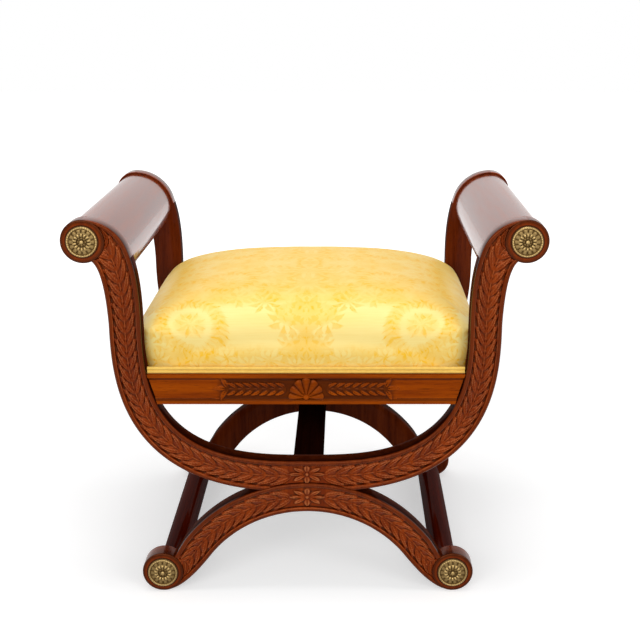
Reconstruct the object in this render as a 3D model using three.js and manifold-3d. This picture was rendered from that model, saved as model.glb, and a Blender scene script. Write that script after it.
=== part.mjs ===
// An X-frame stool in carved mahogany with a stuffed-over damask seat.
// Millimetres. X runs along the width, Y from the front to the rear and Z up from the floor.
// The origin is on the floor, in the middle of the stool.
import * as THREE from "three";
import { mergeVertices } from "three/addons/utils/BufferGeometryUtils.js";
import Module from "manifold-3d";

const wasm = await Module();
wasm.setup();

// Driving dimensions of the whole stool
const overallWidth = 700;
const overallHeight = 586;
const frameDepth = 443;
const limbThickness = 28;

// Clearance between pieces that touch, between cloth and wood, and how far a cutter runs past a face
const jointGap = 0.3;
const clothGap = 0.8;
const overrun = 1;

// The arms: half of the U each, from the crossing up to the scroll
const bowlHeight = 215;
const scrollOverhang = 110;
const elbowShare = 1 / 3;
const armBand = 47;
const armUnderside = 50;
const scrollRadius = 32;
const headRadius = 67.5;
const innerCurvePower = 2.87;
const outerCurvePower = 2.62;
const headStartAngle = 160;
const scrollEndAngle = -108;
const headLeanShare = 0.3;
const elbowRiseShare = 0.4;
const neckBandShares = [0.15, 0.04];
const neckRiseShares = [0.93, 0.48];

// The legs: half of the arch each, from the crossing down to the foot
const crownHeight = 132.5;
const archInnerRadius = 187;
const archBand = 47;
const footHalfSpan = 223.5;
const footRadius = 31.5;
const footFlatDepth = 0.5;
const archEndAngle = 37;
const legTopAngle = 36;
const footStartAngle = -100;
const footEndAngle = 126;
const legStraightShare = 0.66;
const footSweepShare = 0.32;
const footSoleShare = 0.05;

// The carved face of a limb: a sunk field between two edge beads, and a plain rim round each rosette
const beadWidth = 7.5;
const fieldDepth = 2;
const rimInset = 2.5;

// The rosettes
const rosetteRadius = 23;
const rosetteHeight = 5;
const rosetteFlange = 1.6;
const rosetteRimWidth = 3.4;
const petalCount = 12;
const petalRadiusShare = 0.8;
const petalWaistShare = 0.82;
const rosetteBossRadius = 5;
const rosetteBossTopShare = 0.7;
const rosettePinRadius = 2;
const rosettePinLength = 9;

// The scrolled arm rolls
const rollInset = 4;
const rollBottomShare = 0.4516;
const rollEdgeAngle = 176;
const rollNoseShares = [0.66, 0.3];
const rollTenonRadius = 12;
const rollTenonLength = 14;

// The centre stretcher and the foot rails
const stretcherSide = 45;
const stretcherTenonSide = 22;
const stretcherTenonLength = 16;
const footRailRadius = 19.5;
const footRailHalfSpan = 212;
const footRailHeight = 33;
const footRailTenonRadius = 9;
const footRailTenonLength = 14;

// The seat frame
const railHeight = 46;
const railBottom = 306;
const railRecess = 3.5;
const railMoulding = 10;
const railFieldDepth = 3;
const mouldingFlatShare = 0.6;
const mouldingHollowShare = 0.7;
const sideRailOffset = 30.5;
const railTenonThickness = 10;
const railTenonHeight = 28;
const railTenonReach = 5;
const sideTenonLength = 15;
const blockLeg = 62;
const blockHeight = 26;
const boardThickness = 12;
const dustCoverThickness = 0.8;
const dustCoverLap = 14;
const dustCoverCutAngle = 45;
const screwRadius = 2;
const screwHeadRadius = 4;
const screwHeadHeight = 2.4;
const screwLength = 32;
const screwBite = 14;
const screwPointLength = 4;
const counterboreDepth = 9;

// The dowels of the crossing
const dowelRadius = 4;
const dowelLength = 36;
const dowelOffset = 24;

// The shell on the rail
const shellRadius = 26;
const shellLobes = 7;
const shellThickness = 4;
const shellScallopShare = 0.14;
const shellHingeShare = 0.38;

// The cushion and its welt
const cushionRecess = 8;
const cushionDrawIn = 5;
const cushionShoulder = 38;
const cushionCrown = 78;
const cushionCrownPowerX = 2.5;
const cushionCrownPowerY = 3.5;
const cushionPlanPower = 9;
const cushionSideShares = [0, 0.3, 0.62, 1];
const cushionDrawInShares = [1, 1, 0.25, 0];
const cushionRingShares = [0.985, 0.95, 0.89, 0.8, 0.66, 0.46, 0.22];
const weltRadius = 2.75;
const weltInset = 9.6;
const weltPitchShare = 1.8;
const weltSeamAngle = 20;

// Steps round the curves
const curveSteps = 14;
const bendSteps = 7;
const roundSteps = 24;
const smallRoundSteps = 12;
const cushionSteps = 56;

// Heights, faces and centres that follow from the sizes above
const frontFace = -frameDepth / 2;
const limbBack = frontFace + limbThickness;
const innerDepth = frameDepth - 2 * limbThickness;
const scrollX = overallWidth / 2 - scrollRadius;
const scrollZ = overallHeight - scrollRadius;
const headCentreZ = overallHeight - headRadius;
const footZ = footRadius - footFlatDepth;
const archCentreZ = crownHeight - archInnerRadius;
const archOuterRadius = archInnerRadius + archBand;
const crossingHeight = crownHeight + archBand;
const railTop = railBottom + railHeight;
const bowlHalfWidth = overallWidth / 2 - scrollOverhang;
const elbowHeight = railTop + (overallHeight - railTop) * elbowShare;
const rollBottomHeight = elbowHeight + (scrollZ - elbowHeight) * rollBottomShare;
const sideRailFace = bowlHalfWidth + sideRailOffset;
const frontRailThickness = limbThickness - railRecess;
const sideRailInner = sideRailFace - frontRailThickness;
const boardTop = railTop;
const blockTop = boardTop - boardThickness - jointGap;
const seatBottom = railTop + jointGap;

// Materials
const wood = { color: 0x7a3418, roughness: 0.35, metalness: 0 };
const railWood = { color: 0x8a4018, roughness: 0.35, metalness: 0 };
const rawWood = { color: 0xb98a5c, roughness: 0.75, metalness: 0 };
const brass = { color: 0xa98b4e, roughness: 0.35, metalness: 1 };
const steel = { color: 0x9a9a98, roughness: 0.4, metalness: 1 };
const damask = { color: 0xf0cd6e, roughness: 0.55, metalness: 0 };
const blackCloth = { color: 0x1d1c1b, roughness: 0.95, metalness: 0 };

const stool = new THREE.Group();

// Turns a closed geometry into a solid for joining and cutting.
function solid(geometry) {
  const bare = geometry.index ? geometry.toNonIndexed() : geometry.clone();
  for (const name of Object.keys(bare.attributes)) {
    if (name !== "position") bare.deleteAttribute(name);
  }
  const merged = mergeVertices(bare);
  const vertProperties = merged.attributes.position.array;
  const triVerts = new Uint32Array(merged.index.array);
  return new wasm.Manifold(new wasm.Mesh({ numProp: 3, vertProperties, triVerts }));
}

// Turns a solid back into a geometry.
function geometryOf(body) {
  const mesh = body.getMesh();
  const geometry = new THREE.BufferGeometry();
  geometry.setAttribute("position", new THREE.BufferAttribute(mesh.vertProperties, 3));
  geometry.setIndex(new THREE.BufferAttribute(mesh.triVerts, 1));
  geometry.computeVertexNormals();
  return geometry;
}

// Adds a named piece to a group.
function add(group, name, shape, finish) {
  const geometry = shape.isBufferGeometry ? shape : geometryOf(shape);
  const mesh = new THREE.Mesh(geometry, new THREE.MeshStandardMaterial(finish));
  mesh.name = name;
  group.add(mesh);
  return mesh;
}

const point = (x, z) => new THREE.Vector2(x, z);

// Points of an arc in the XZ plane, its angles in degrees from +X towards +Z.
function arc(x, z, radius, from, to, steps) {
  const points = [];
  for (let i = 0; i <= steps; i++) {
    const angle = THREE.MathUtils.degToRad(from + ((to - from) * i) / steps);
    points.push(point(x + radius * Math.cos(angle), z + radius * Math.sin(angle)));
  }
  return points;
}

// Points of a Bezier curve, without its two ends.
function bend(from, control1, control2, to, steps) {
  const curve = new THREE.CubicBezierCurve(from, control1, control2, to);
  return curve.getPoints(steps).slice(1, -1);
}

// A board sawn to an outline in the XZ plane, its front face at y.
function board(outline, y, thickness) {
  const shape = new THREE.Shape(outline);
  const geometry = new THREE.ExtrudeGeometry(shape, { depth: thickness, bevelEnabled: false });
  geometry.rotateX(Math.PI / 2);
  geometry.translate(0, y + thickness, 0);
  return geometry;
}

// A block between two corners.
function block(low, high) {
  const size = high.map((value, i) => value - low[i]);
  const geometry = new THREE.BoxGeometry(...size);
  geometry.translate(...low.map((value, i) => value + size[i] / 2));
  return geometry;
}

// A round bar along Y from one depth to another.
function barY(x, z, radius, fromY, toY, steps = smallRoundSteps) {
  const geometry = new THREE.CylinderGeometry(radius, radius, toY - fromY, steps);
  geometry.translate(x, (fromY + toY) / 2, z);
  return geometry;
}

// A round bar along X or along Z, given its middle.
function barAlong(axis, middle, radius, length, steps = smallRoundSteps) {
  const geometry = new THREE.CylinderGeometry(radius, radius, length, steps);
  if (axis === "x") geometry.rotateZ(-Math.PI / 2);
  if (axis === "z") geometry.rotateX(Math.PI / 2);
  geometry.translate(...middle);
  return geometry;
}

// A point of the U's inner or outer edge, from its lowest point at 0 to the elbow at 90 degrees.
function bowlPoint(halfWidth, drop, power, degrees) {
  const angle = THREE.MathUtils.degToRad(degrees);
  const x = halfWidth * Math.sin(angle) ** (2 / power);
  return point(x, elbowHeight - drop * Math.abs(Math.cos(angle)) ** (2 / power));
}

const innerPoint = (degrees, inset) =>
  bowlPoint(bowlHalfWidth + inset, elbowHeight - bowlHeight + inset, innerCurvePower, degrees);

const outerPoint = (degrees, inset) =>
  bowlPoint(
    bowlHalfWidth + armBand - inset,
    elbowHeight - bowlHeight + armUnderside - inset,
    outerCurvePower,
    degrees,
  );

// How far the U's inner edge is from the middle at a height below the elbow.
function innerEdgeAt(height) {
  const drop = (elbowHeight - height) / (elbowHeight - bowlHeight);
  return bowlHalfWidth * (1 - drop ** innerCurvePower) ** (1 / innerCurvePower);
}

// The angle at which the U's outer edge leaves the arch that it is coped over.
function copeEnd(inset) {
  const radius = archOuterRadius + jointGap + inset;
  let low = 0;
  let high = 60;
  for (let i = 0; i < 40; i++) {
    const middle = (low + high) / 2;
    const p = outerPoint(middle, inset);
    if (Math.hypot(p.x, p.y - archCentreZ) < radius) low = middle;
    else high = middle;
  }
  return high;
}

// The head of an arm in outline: the underside of the neck, the scroll and the sweep over the roll.
function neckPoints(inset, bottom, reach) {
  const end = arc(scrollX, scrollZ, scrollRadius - inset, scrollEndAngle, scrollEndAngle, 1)[0];
  const rise = end.y - bottom;
  const controls = neckBandShares.map((share, i) =>
    point(reach + armBand * share, bottom + rise * neckRiseShares[i]),
  );
  return bend(point(reach, bottom), controls[1], controls[0], end, bendSteps);
}

function headPoints(inset, sweepEnd) {
  return [
    ...arc(scrollX, scrollZ, scrollRadius - inset, scrollEndAngle, 90, roundSteps),
    ...arc(scrollX, headCentreZ, headRadius - inset, 90, sweepEnd, bendSteps).slice(1),
  ];
}

// The outline of a right arm. A positive inset draws both edges in, a negative one grows them.
function armOutline(inset) {
  const leaves = copeEnd(inset);
  const edge = outerPoint(leaves, inset);
  const copeRadius = archOuterRadius + jointGap + inset;
  const copeAngle = THREE.MathUtils.radToDeg(Math.atan2(edge.y - archCentreZ, edge.x));
  const cope = arc(0, archCentreZ, copeRadius, 90, copeAngle, bendSteps);
  cope[0] = point(jointGap / 2, cope[0].y);
  const outer = [];
  for (let i = 1; i <= curveSteps; i++) {
    outer.push(outerPoint(leaves + ((90 - leaves) * i) / curveSteps, inset));
  }
  const head = headPoints(inset, headStartAngle);
  const sweep = head[head.length - 1];
  const elbow = point(bowlHalfWidth + inset, elbowHeight);
  const rise = sweep.y - elbow.y;
  const angle = THREE.MathUtils.degToRad(headStartAngle);
  const lean = point(Math.sin(angle), -Math.cos(angle)).multiplyScalar(rise * headLeanShare);
  const inner = [];
  for (let i = curveSteps; i > 0; i--) inner.push(innerPoint((90 * i) / curveSteps, inset));
  return [
    ...cope,
    ...outer,
    ...neckPoints(inset, elbowHeight, bowlHalfWidth + armBand - inset),
    ...head,
    ...bend(
      sweep,
      point(sweep.x - lean.x, sweep.y - lean.y),
      point(elbow.x, elbow.y + rise * elbowRiseShare),
      elbow,
      bendSteps,
    ),
    ...inner,
    point(jointGap / 2, innerPoint(0, inset).y),
  ];
}

// The outline of a right leg, drawn in or grown in the same way.
function legOutline(inset) {
  const inner = arc(0, archCentreZ, archInnerRadius + inset, 90, archEndAngle, curveSteps);
  inner[0] = point(jointGap / 2, inner[0].y);
  const from = inner[inner.length - 1];
  const foot = arc(footHalfSpan, footZ, footRadius - inset, footStartAngle, footEndAngle, roundSteps);
  const reach = foot[0].x - from.x;
  const fall = from.y - foot[0].y;
  const angle = THREE.MathUtils.degToRad(archEndAngle);
  const slope = point(Math.sin(angle), -Math.cos(angle)).multiplyScalar(fall * legStraightShare);
  const shank = bend(
    from,
    point(from.x + slope.x, from.y + slope.y),
    point(foot[0].x - reach * footSweepShare, foot[0].y + fall * footSoleShare),
    foot[0],
    bendSteps,
  );
  const outer = arc(0, archCentreZ, archOuterRadius - inset, legTopAngle, 90, curveSteps);
  outer[outer.length - 1] = point(jointGap / 2, outer[outer.length - 1].y);
  const outline = [...inner, ...shank, ...foot, ...outer];
  return outline.map((p) => point(p.x, Math.max(p.y, inset)));
}

// The field between the edge beads, sunk into a limb's front face.
function sunkField(outline, x, z, radius) {
  const field = solid(board(outline, frontFace - overrun, fieldDepth + overrun));
  const rim = barY(x, z, radius - rimInset, frontFace - 2 * overrun, limbBack, roundSteps);
  return field.subtract(solid(rim));
}

// The bores and mortises of a limb
const pinBore = (x, z) =>
  solid(
    barY(
      x,
      z,
      rosettePinRadius + jointGap,
      frontFace - overrun,
      frontFace + rosettePinLength + jointGap,
    ),
  );

const stretcherMortise = solid(
  block(
    [
      -stretcherTenonSide / 2 - jointGap,
      limbBack - stretcherTenonLength - jointGap,
      crossingHeight - stretcherTenonSide / 2 - jointGap,
    ],
    [
      stretcherTenonSide / 2 + jointGap,
      limbBack + overrun,
      crossingHeight + stretcherTenonSide / 2 + jointGap,
    ],
  ),
);

const dowelY = frontFace + limbThickness / 2;
const crossingDowelMiddle = [dowelOffset, dowelY, crossingHeight];
const armDowelMiddle = [0, dowelY, (bowlHeight + crossingHeight) / 2];
const legDowelMiddle = [0, dowelY, (crownHeight + crossingHeight) / 2];
const dowelBore = (axis, middle) =>
  solid(barAlong(axis, middle, dowelRadius + jointGap, dowelLength + 2 * jointGap));

const railMiddle = (railBottom + railTop) / 2;
const frontRailY = frontFace + railRecess;
const railMiddleY = frontRailY + frontRailThickness / 2;
const sideTenonX = sideRailFace - frontRailThickness / 2;
const railTenonEnd = bowlHalfWidth + railTenonReach;

// The tenon of the front rail, and that of a side rail, or their mortises when they are grown.
function frontTenon(from, grow) {
  return solid(
    block(
      [from, railMiddleY - railTenonThickness / 2 - grow, railMiddle - railTenonHeight / 2 - grow],
      [
        railTenonEnd + grow,
        railMiddleY + railTenonThickness / 2 + grow,
        railMiddle + railTenonHeight / 2 + grow,
      ],
    ),
  );
}

function sideTenon(toY, grow) {
  return solid(
    block(
      [
        sideTenonX - railTenonThickness / 2 - grow,
        limbBack - sideTenonLength - grow,
        railMiddle - railTenonHeight / 2 - grow,
      ],
      [
        sideTenonX + railTenonThickness / 2 + grow,
        toY,
        railMiddle + railTenonHeight / 2 + grow,
      ],
    ),
  );
}

function rightArm() {
  return solid(board(armOutline(0), frontFace, limbThickness))
    .subtract(sunkField(armOutline(beadWidth), scrollX, scrollZ, scrollRadius))
    .subtract(pinBore(scrollX, scrollZ))
    .subtract(stretcherMortise)
    .subtract(dowelBore("z", crossingDowelMiddle))
    .subtract(dowelBore("x", armDowelMiddle))
    .subtract(frontTenon(bowlHalfWidth / 2, jointGap))
    .subtract(sideTenon(limbBack + overrun, jointGap))
    .subtract(
      solid(
        barY(
          scrollX,
          scrollZ,
          rollTenonRadius + jointGap,
          limbBack - rollTenonLength - jointGap,
          limbBack + overrun,
          roundSteps,
        ),
      ),
    );
}

function rightLeg() {
  return solid(board(legOutline(0), frontFace, limbThickness))
    .subtract(sunkField(legOutline(beadWidth), footHalfSpan, footZ, footRadius))
    .subtract(pinBore(footHalfSpan, footZ))
    .subtract(stretcherMortise)
    .subtract(dowelBore("z", crossingDowelMiddle))
    .subtract(dowelBore("x", legDowelMiddle))
    .subtract(
      solid(
        barY(
          footRailHalfSpan,
          footRailHeight,
          footRailTenonRadius + jointGap,
          limbBack - footRailTenonLength - jointGap,
          limbBack + overrun,
          roundSteps,
        ),
      ),
    );
}

// A cast rosette: a flange with a raised rim, a daisy of petals, a centre boss and a fixing pin.
function rosette(x, z) {
  const back = frontFace - jointGap;
  const inner = rosetteRadius - rosetteRimWidth;
  const profile = [
    point(0, -rosettePinLength),
    point(rosettePinRadius, -rosettePinLength),
    point(rosettePinRadius, 0),
    point(rosetteRadius, 0),
    point(rosetteRadius, rosetteFlange),
    point(rosetteRadius - rosetteRimWidth / 2, rosetteHeight - rosetteFlange),
    point(inner, rosetteFlange),
    point(0, rosetteFlange),
  ];
  const plate = new THREE.LatheGeometry(profile, roundSteps);
  const petals = [];
  for (let i = 0; i < 2 * petalCount; i++) {
    const angle = (Math.PI * i) / petalCount;
    const reach = petalRadiusShare * rosetteRadius * (i % 2 ? petalWaistShare : 1);
    petals.push(point(reach * Math.cos(angle), reach * Math.sin(angle)));
  }
  const daisyHeight = rosetteHeight - 2 * rosetteFlange;
  const daisy = new THREE.ExtrudeGeometry(new THREE.Shape(petals), {
    depth: daisyHeight,
    bevelEnabled: false,
  });
  daisy.rotateX(-Math.PI / 2);
  daisy.translate(0, rosetteFlange / 2, 0);
  const boss = new THREE.CylinderGeometry(
    rosetteBossRadius * rosetteBossTopShare,
    rosetteBossRadius,
    rosetteHeight - rosetteFlange / 2,
    smallRoundSteps,
  );
  boss.translate(0, (rosetteHeight + rosetteFlange / 2) / 2, 0);
  const whole = geometryOf(solid(plate).add(solid(daisy)).add(solid(boss)));
  whole.rotateX(Math.PI);
  whole.translate(x, back, z);
  return whole;
}

// One X-frame, as seen from its own carved face
function frameOf(place, sides) {
  const frame = new THREE.Group();
  const arm = geometryOf(rightArm());
  const leg = geometryOf(rightLeg());
  const armRosette = rosette(scrollX, scrollZ);
  const footRosette = rosette(footHalfSpan, footZ);
  const crossingDowel = barAlong("z", crossingDowelMiddle, dowelRadius, dowelLength);
  sides.forEach((side, i) => {
    const half = new THREE.Group();
    half.scale.x = i === 0 ? -1 : 1;
    add(half, `${place}_arm_${side}`, arm, wood);
    add(half, `${place}_leg_${side}`, leg, wood);
    add(half, `${place}_scroll_rosette_${side}`, armRosette, brass);
    add(half, `${place}_foot_rosette_${side}`, footRosette, brass);
    add(half, `${place}_crossing_dowel_${side}`, crossingDowel, rawWood);
    frame.add(half);
  });
  add(frame, `${place}_arm_dowel`, barAlong("x", armDowelMiddle, dowelRadius, dowelLength), rawWood);
  add(frame, `${place}_leg_dowel`, barAlong("x", legDowelMiddle, dowelRadius, dowelLength), rawWood);
  return frame;
}

// The outline of an arm roll: it follows the scroll and the sweep, and ends in a nose under the neck.
function rollOutline() {
  const reach = bowlHalfWidth + armBand - rollInset;
  const head = headPoints(rollInset, rollEdgeAngle);
  const edge = head[head.length - 1];
  const heel = point(reach, rollBottomHeight);
  const width = heel.x - edge.x;
  const fall = edge.y - heel.y;
  const nose = bend(
    edge,
    point(edge.x, edge.y - fall * rollNoseShares[1]),
    point(heel.x - width * rollNoseShares[0], heel.y),
    heel,
    bendSteps,
  );
  return [heel, ...neckPoints(rollInset, rollBottomHeight, reach), ...head, ...nose];
}

function armRoll() {
  const length = innerDepth - 2 * jointGap;
  const start = limbBack + jointGap;
  const tenonFrom = limbBack - rollTenonLength;
  const tenon = barY(scrollX, scrollZ, rollTenonRadius, tenonFrom, -tenonFrom, roundSteps);
  return solid(board(rollOutline(), start, length)).add(solid(tenon));
}

function centreStretcher() {
  const start = limbBack + jointGap;
  const tenonFrom = limbBack - stretcherTenonLength;
  const half = stretcherSide / 2;
  const tenonHalf = stretcherTenonSide / 2;
  const bar = block(
    [-half, start, crossingHeight - half],
    [half, -start, crossingHeight + half],
  );
  const tenon = block(
    [-tenonHalf, tenonFrom, crossingHeight - tenonHalf],
    [tenonHalf, -tenonFrom, crossingHeight + tenonHalf],
  );
  return solid(bar).add(solid(tenon));
}

function footRail() {
  const start = limbBack + jointGap;
  const tenonFrom = limbBack - footRailTenonLength;
  const x = footRailHalfSpan;
  const bar = barY(x, footRailHeight, footRailRadius, start, -start, roundSteps);
  const tenon = barY(x, footRailHeight, footRailTenonRadius, tenonFrom, -tenonFrom, smallRoundSteps);
  return solid(bar).add(solid(tenon));
}

// The section of a seat rail: a plain field between a bottom and a top moulding, face at zero.
function railSection(thickness) {
  const flat = railMoulding * mouldingFlatShare;
  const hollow = railMoulding * mouldingHollowShare;
  return [
    point(0, railBottom),
    point(thickness, railBottom),
    point(thickness, railTop),
    point(0, railTop),
    point(0, railTop - flat),
    point(railFieldDepth * mouldingHollowShare, railTop - hollow),
    point(railFieldDepth, railTop - railMoulding),
    point(railFieldDepth, railBottom + railMoulding),
    point(railFieldDepth * mouldingHollowShare, railBottom + hollow),
    point(0, railBottom + flat),
  ];
}

// A seat rail along X, its moulded face at y.
function railAlongX(length, y, thickness) {
  const shape = new THREE.Shape(railSection(thickness));
  const geometry = new THREE.ExtrudeGeometry(shape, { depth: length, bevelEnabled: false });
  geometry.translate(0, 0, -length / 2);
  geometry.rotateY(Math.PI / 2);
  geometry.rotateX(Math.PI / 2);
  geometry.translate(0, y, 0);
  return geometry;
}

// The opening between the arms, from which the ends of the front rail are cut
function bowlOpening() {
  const right = [];
  for (let i = 0; i <= curveSteps; i++) right.push(innerPoint((90 * i) / curveSteps, -jointGap));
  const left = right.map((p) => point(-p.x, p.y)).reverse();
  const outline = [...right, ...left.slice(0, -1)];
  return solid(board(outline, frontFace - overrun, limbThickness + 2 * overrun));
}

// The screws of a corner block, each as an axis and the middle of its head
const cornerX = sideRailInner - jointGap;
const cornerY = limbBack + jointGap;
const screwReach = screwLength - screwBite;
const screwPlace = blockLeg - screwReach - counterboreDepth;
const blockScrews = [
  { axis: "x", at: [cornerX, cornerY + screwPlace, railMiddle] },
  { axis: "y", at: [cornerX - screwPlace, cornerY, railMiddle] },
];

// A countersunk wood screw from its head, outside the block, to its tip in the rail.
function screw(spec, grow) {
  const head = screwHeadRadius + grow;
  const shank = screwRadius + grow;
  const profile = [
    point(0, -screwBite - grow),
    point(shank, -screwBite + screwPointLength),
    point(shank, screwReach - screwHeadHeight),
    point(head, screwReach),
    point(0, screwReach),
  ];
  if (grow > 0) profile.splice(4, 0, point(head, blockLeg));
  if (grow > 0) profile[profile.length - 1] = point(0, blockLeg);
  const geometry = new THREE.LatheGeometry(profile, smallRoundSteps);
  if (spec.axis === "x") geometry.rotateZ(Math.PI / 2);
  geometry.translate(...spec.at);
  return geometry;
}

// The screw holes of one corner, cut from the block and the rails
const cornerScrewHoles = blockScrews.map((spec) => solid(screw(spec, jointGap)));

function cornerBlock() {
  const outline = new THREE.Shape([
    point(cornerX, cornerY),
    point(cornerX, cornerY + blockLeg),
    point(cornerX - blockLeg, cornerY),
  ]);
  const geometry = new THREE.ExtrudeGeometry(outline, { depth: blockHeight, bevelEnabled: false });
  geometry.translate(0, 0, blockTop - blockHeight);
  return cornerScrewHoles.reduce((body, hole) => body.subtract(hole), solid(geometry));
}

const mirrorX = (body) => body.mirror([1, 0, 0]);
const mirrorY = (body) => body.mirror([0, 1, 0]);

function frontRail() {
  const reach = bowlHalfWidth + railTenonReach;
  const tenon = frontTenon(0, 0);
  const bar = solid(railAlongX(2 * reach, frontRailY, frontRailThickness)).intersect(bowlOpening());
  const hole = cornerScrewHoles[1];
  return bar.add(tenon).add(mirrorX(tenon)).subtract(hole).subtract(mirrorX(hole));
}

function rightRail() {
  const length = innerDepth - 2 * jointGap;
  const geometry = railAlongX(length, 0, frontRailThickness);
  geometry.rotateZ(Math.PI / 2);
  geometry.translate(sideRailFace, 0, 0);
  const tenon = sideTenon(0, 0);
  const hole = cornerScrewHoles[0];
  return solid(geometry).add(tenon).add(mirrorY(tenon)).subtract(hole).subtract(mirrorY(hole));
}

// A fan shell, its hinge at the bottom and its lobes spread above it.
function railShell() {
  const lobes = [];
  const steps = 4 * shellLobes;
  for (let i = 0; i <= steps; i++) {
    const angle = (Math.PI * i) / steps;
    const scallop = Math.abs(Math.sin(shellLobes * angle));
    const reach = shellRadius * (1 - shellScallopShare * (1 - scallop));
    lobes.push(point(reach * Math.cos(angle), reach * Math.sin(angle)));
  }
  const hinge = point(0, -shellRadius * shellHingeShare);
  const lift = (shellRadius + hinge.y) / 2;
  const outline = [...lobes, hinge].map((p) => point(p.x, railMiddle + p.y - lift));
  const blank = board(outline, frontRailY - shellThickness, shellThickness + railFieldDepth);
  const bed = railAlongX(bowlHalfWidth, frontRailY - jointGap, frontRailThickness);
  return solid(blank).subtract(solid(bed));
}

// The seat board, let in between the rails
const boardHalfX = sideRailInner - jointGap;
const boardHalfY = innerDepth / 2 - jointGap;

function seatBoard() {
  return block(
    [-boardHalfX, -boardHalfY, boardTop - boardThickness],
    [boardHalfX, boardHalfY, boardTop],
  );
}

// The dust cover, tacked under the rails and cut round the arms.
function dustCover() {
  const armX = innerPoint(dustCoverCutAngle, 0).x;
  const sideX = sideRailInner + dustCoverLap;
  const endY = boardHalfY - jointGap;
  const lapY = boardHalfY + dustCoverLap;
  const outline = [
    [armX, lapY],
    [armX, endY],
    [sideX, endY],
    [sideX, -endY],
    [armX, -endY],
    [armX, -lapY],
  ];
  const shape = new THREE.Shape([
    ...outline.map(([x, y]) => point(x, y)),
    ...outline.map(([x, y]) => point(-x, -y)),
  ]);
  const geometry = new THREE.ExtrudeGeometry(shape, { depth: dustCoverThickness, bevelEnabled: false });
  geometry.translate(0, 0, railBottom - jointGap - dustCoverThickness);
  return geometry;
}

// The cushion: rings from its drawn-in foot up its sides and over the crown.
const cushionHalfX = sideRailFace - (cushionRecess - railRecess);
const cushionHalfY = frameDepth / 2 - cushionRecess;

function crownHeightAt(x, y) {
  const acrossX = 1 - Math.abs(x / cushionHalfX) ** cushionCrownPowerX;
  const acrossY = 1 - Math.abs(y / cushionHalfY) ** cushionCrownPowerY;
  const swell = acrossX ** (1 / cushionCrownPowerX) * acrossY ** (1 / cushionCrownPowerY);
  return seatBottom + cushionShoulder + cushionCrown * swell;
}

function planPoint(step, shrink) {
  const angle = (2 * Math.PI * step) / cushionSteps;
  const cos = Math.cos(angle);
  const sin = Math.sin(angle);
  const sum = Math.abs(cos) ** cushionPlanPower + Math.abs(sin) ** cushionPlanPower;
  const reach = sum ** (-1 / cushionPlanPower);
  return [(cushionHalfX - shrink) * reach * cos, (cushionHalfY - shrink) * reach * sin];
}

function cushion() {
  const vertices = [0, 0, seatBottom];
  cushionSideShares.forEach((share, level) => {
    for (let i = 0; i < cushionSteps; i++) {
      const [x, y] = planPoint(i, cushionDrawIn * cushionDrawInShares[level]);
      vertices.push(x, y, seatBottom + cushionShoulder * share);
    }
  });
  for (const share of cushionRingShares) {
    for (let i = 0; i < cushionSteps; i++) {
      const [x, y] = planPoint(i, 0).map((value) => value * share);
      vertices.push(x, y, crownHeightAt(x, y));
    }
  }
  vertices.push(0, 0, crownHeightAt(0, 0));
  const rings = cushionSideShares.length + cushionRingShares.length;
  const top = 1 + rings * cushionSteps;
  const faces = [];
  for (let i = 0; i < cushionSteps; i++) {
    const next = (i + 1) % cushionSteps;
    faces.push(0, 1 + next, 1 + i);
    for (let ring = 0; ring < rings - 1; ring++) {
      const low = 1 + ring * cushionSteps;
      const high = low + cushionSteps;
      faces.push(low + i, low + next, high + next);
      faces.push(low + i, high + next, high + i);
    }
    faces.push(top - cushionSteps + i, top - cushionSteps + next, top);
  }
  const geometry = new THREE.BufferGeometry();
  geometry.setAttribute("position", new THREE.Float32BufferAttribute(vertices, 3));
  geometry.setIndex(faces);
  const postDepth = limbThickness + overrun + clothGap;
  const rightPost = solid(board(armOutline(-clothGap), frontFace - overrun, postDepth));
  const posts = rightPost.add(mirrorX(rightPost));
  return solid(geometry).subtract(posts).subtract(mirrorY(posts));
}

// The double welt: two cords sewn side by side, laid along the foot of the cushion.
function welt(length) {
  const upper = weltRadius * (1 + weltPitchShare);
  const outline = [
    ...arc(0, weltRadius, weltRadius, weltSeamAngle - 180, -weltSeamAngle, smallRoundSteps / 2),
    ...arc(0, upper, weltRadius, -weltSeamAngle, weltSeamAngle + 180, smallRoundSteps),
  ];
  const geometry = new THREE.ExtrudeGeometry(new THREE.Shape(outline), {
    depth: length,
    bevelEnabled: false,
  });
  geometry.translate(0, 0, -length / 2);
  geometry.rotateY(Math.PI / 2);
  geometry.rotateX(Math.PI / 2);
  return geometry;
}

// Assembly
const frontFrame = frameOf("front", ["left", "right"]);
const rearFrame = frameOf("rear", ["right", "left"]);
rearFrame.rotation.z = Math.PI;
stool.add(frontFrame, rearFrame);

add(stool, "centre_stretcher", centreStretcher(), wood);
add(stool, "seat_board", seatBoard(), rawWood);
add(stool, "dust_cover", dustCover(), blackCloth);
add(stool, "seat_cushion", cushion(), damask);

// The pieces of the front, and of the rear turned half way round
const frontRailBody = geometryOf(frontRail());
const weltHalfLength = innerEdgeAt(seatBottom) - clothGap;
for (const [place, turn] of [["front", 0], ["rear", Math.PI]]) {
  const end = new THREE.Group();
  end.rotation.z = turn;
  add(end, `${place}_seat_rail`, frontRailBody, railWood);
  add(end, `${place}_rail_shell`, railShell(), railWood);
  const cord = add(end, `${place}_welt`, welt(2 * weltHalfLength), damask);
  cord.position.set(0, frontFace + weltInset, seatBottom);
  stool.add(end);
}

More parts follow.
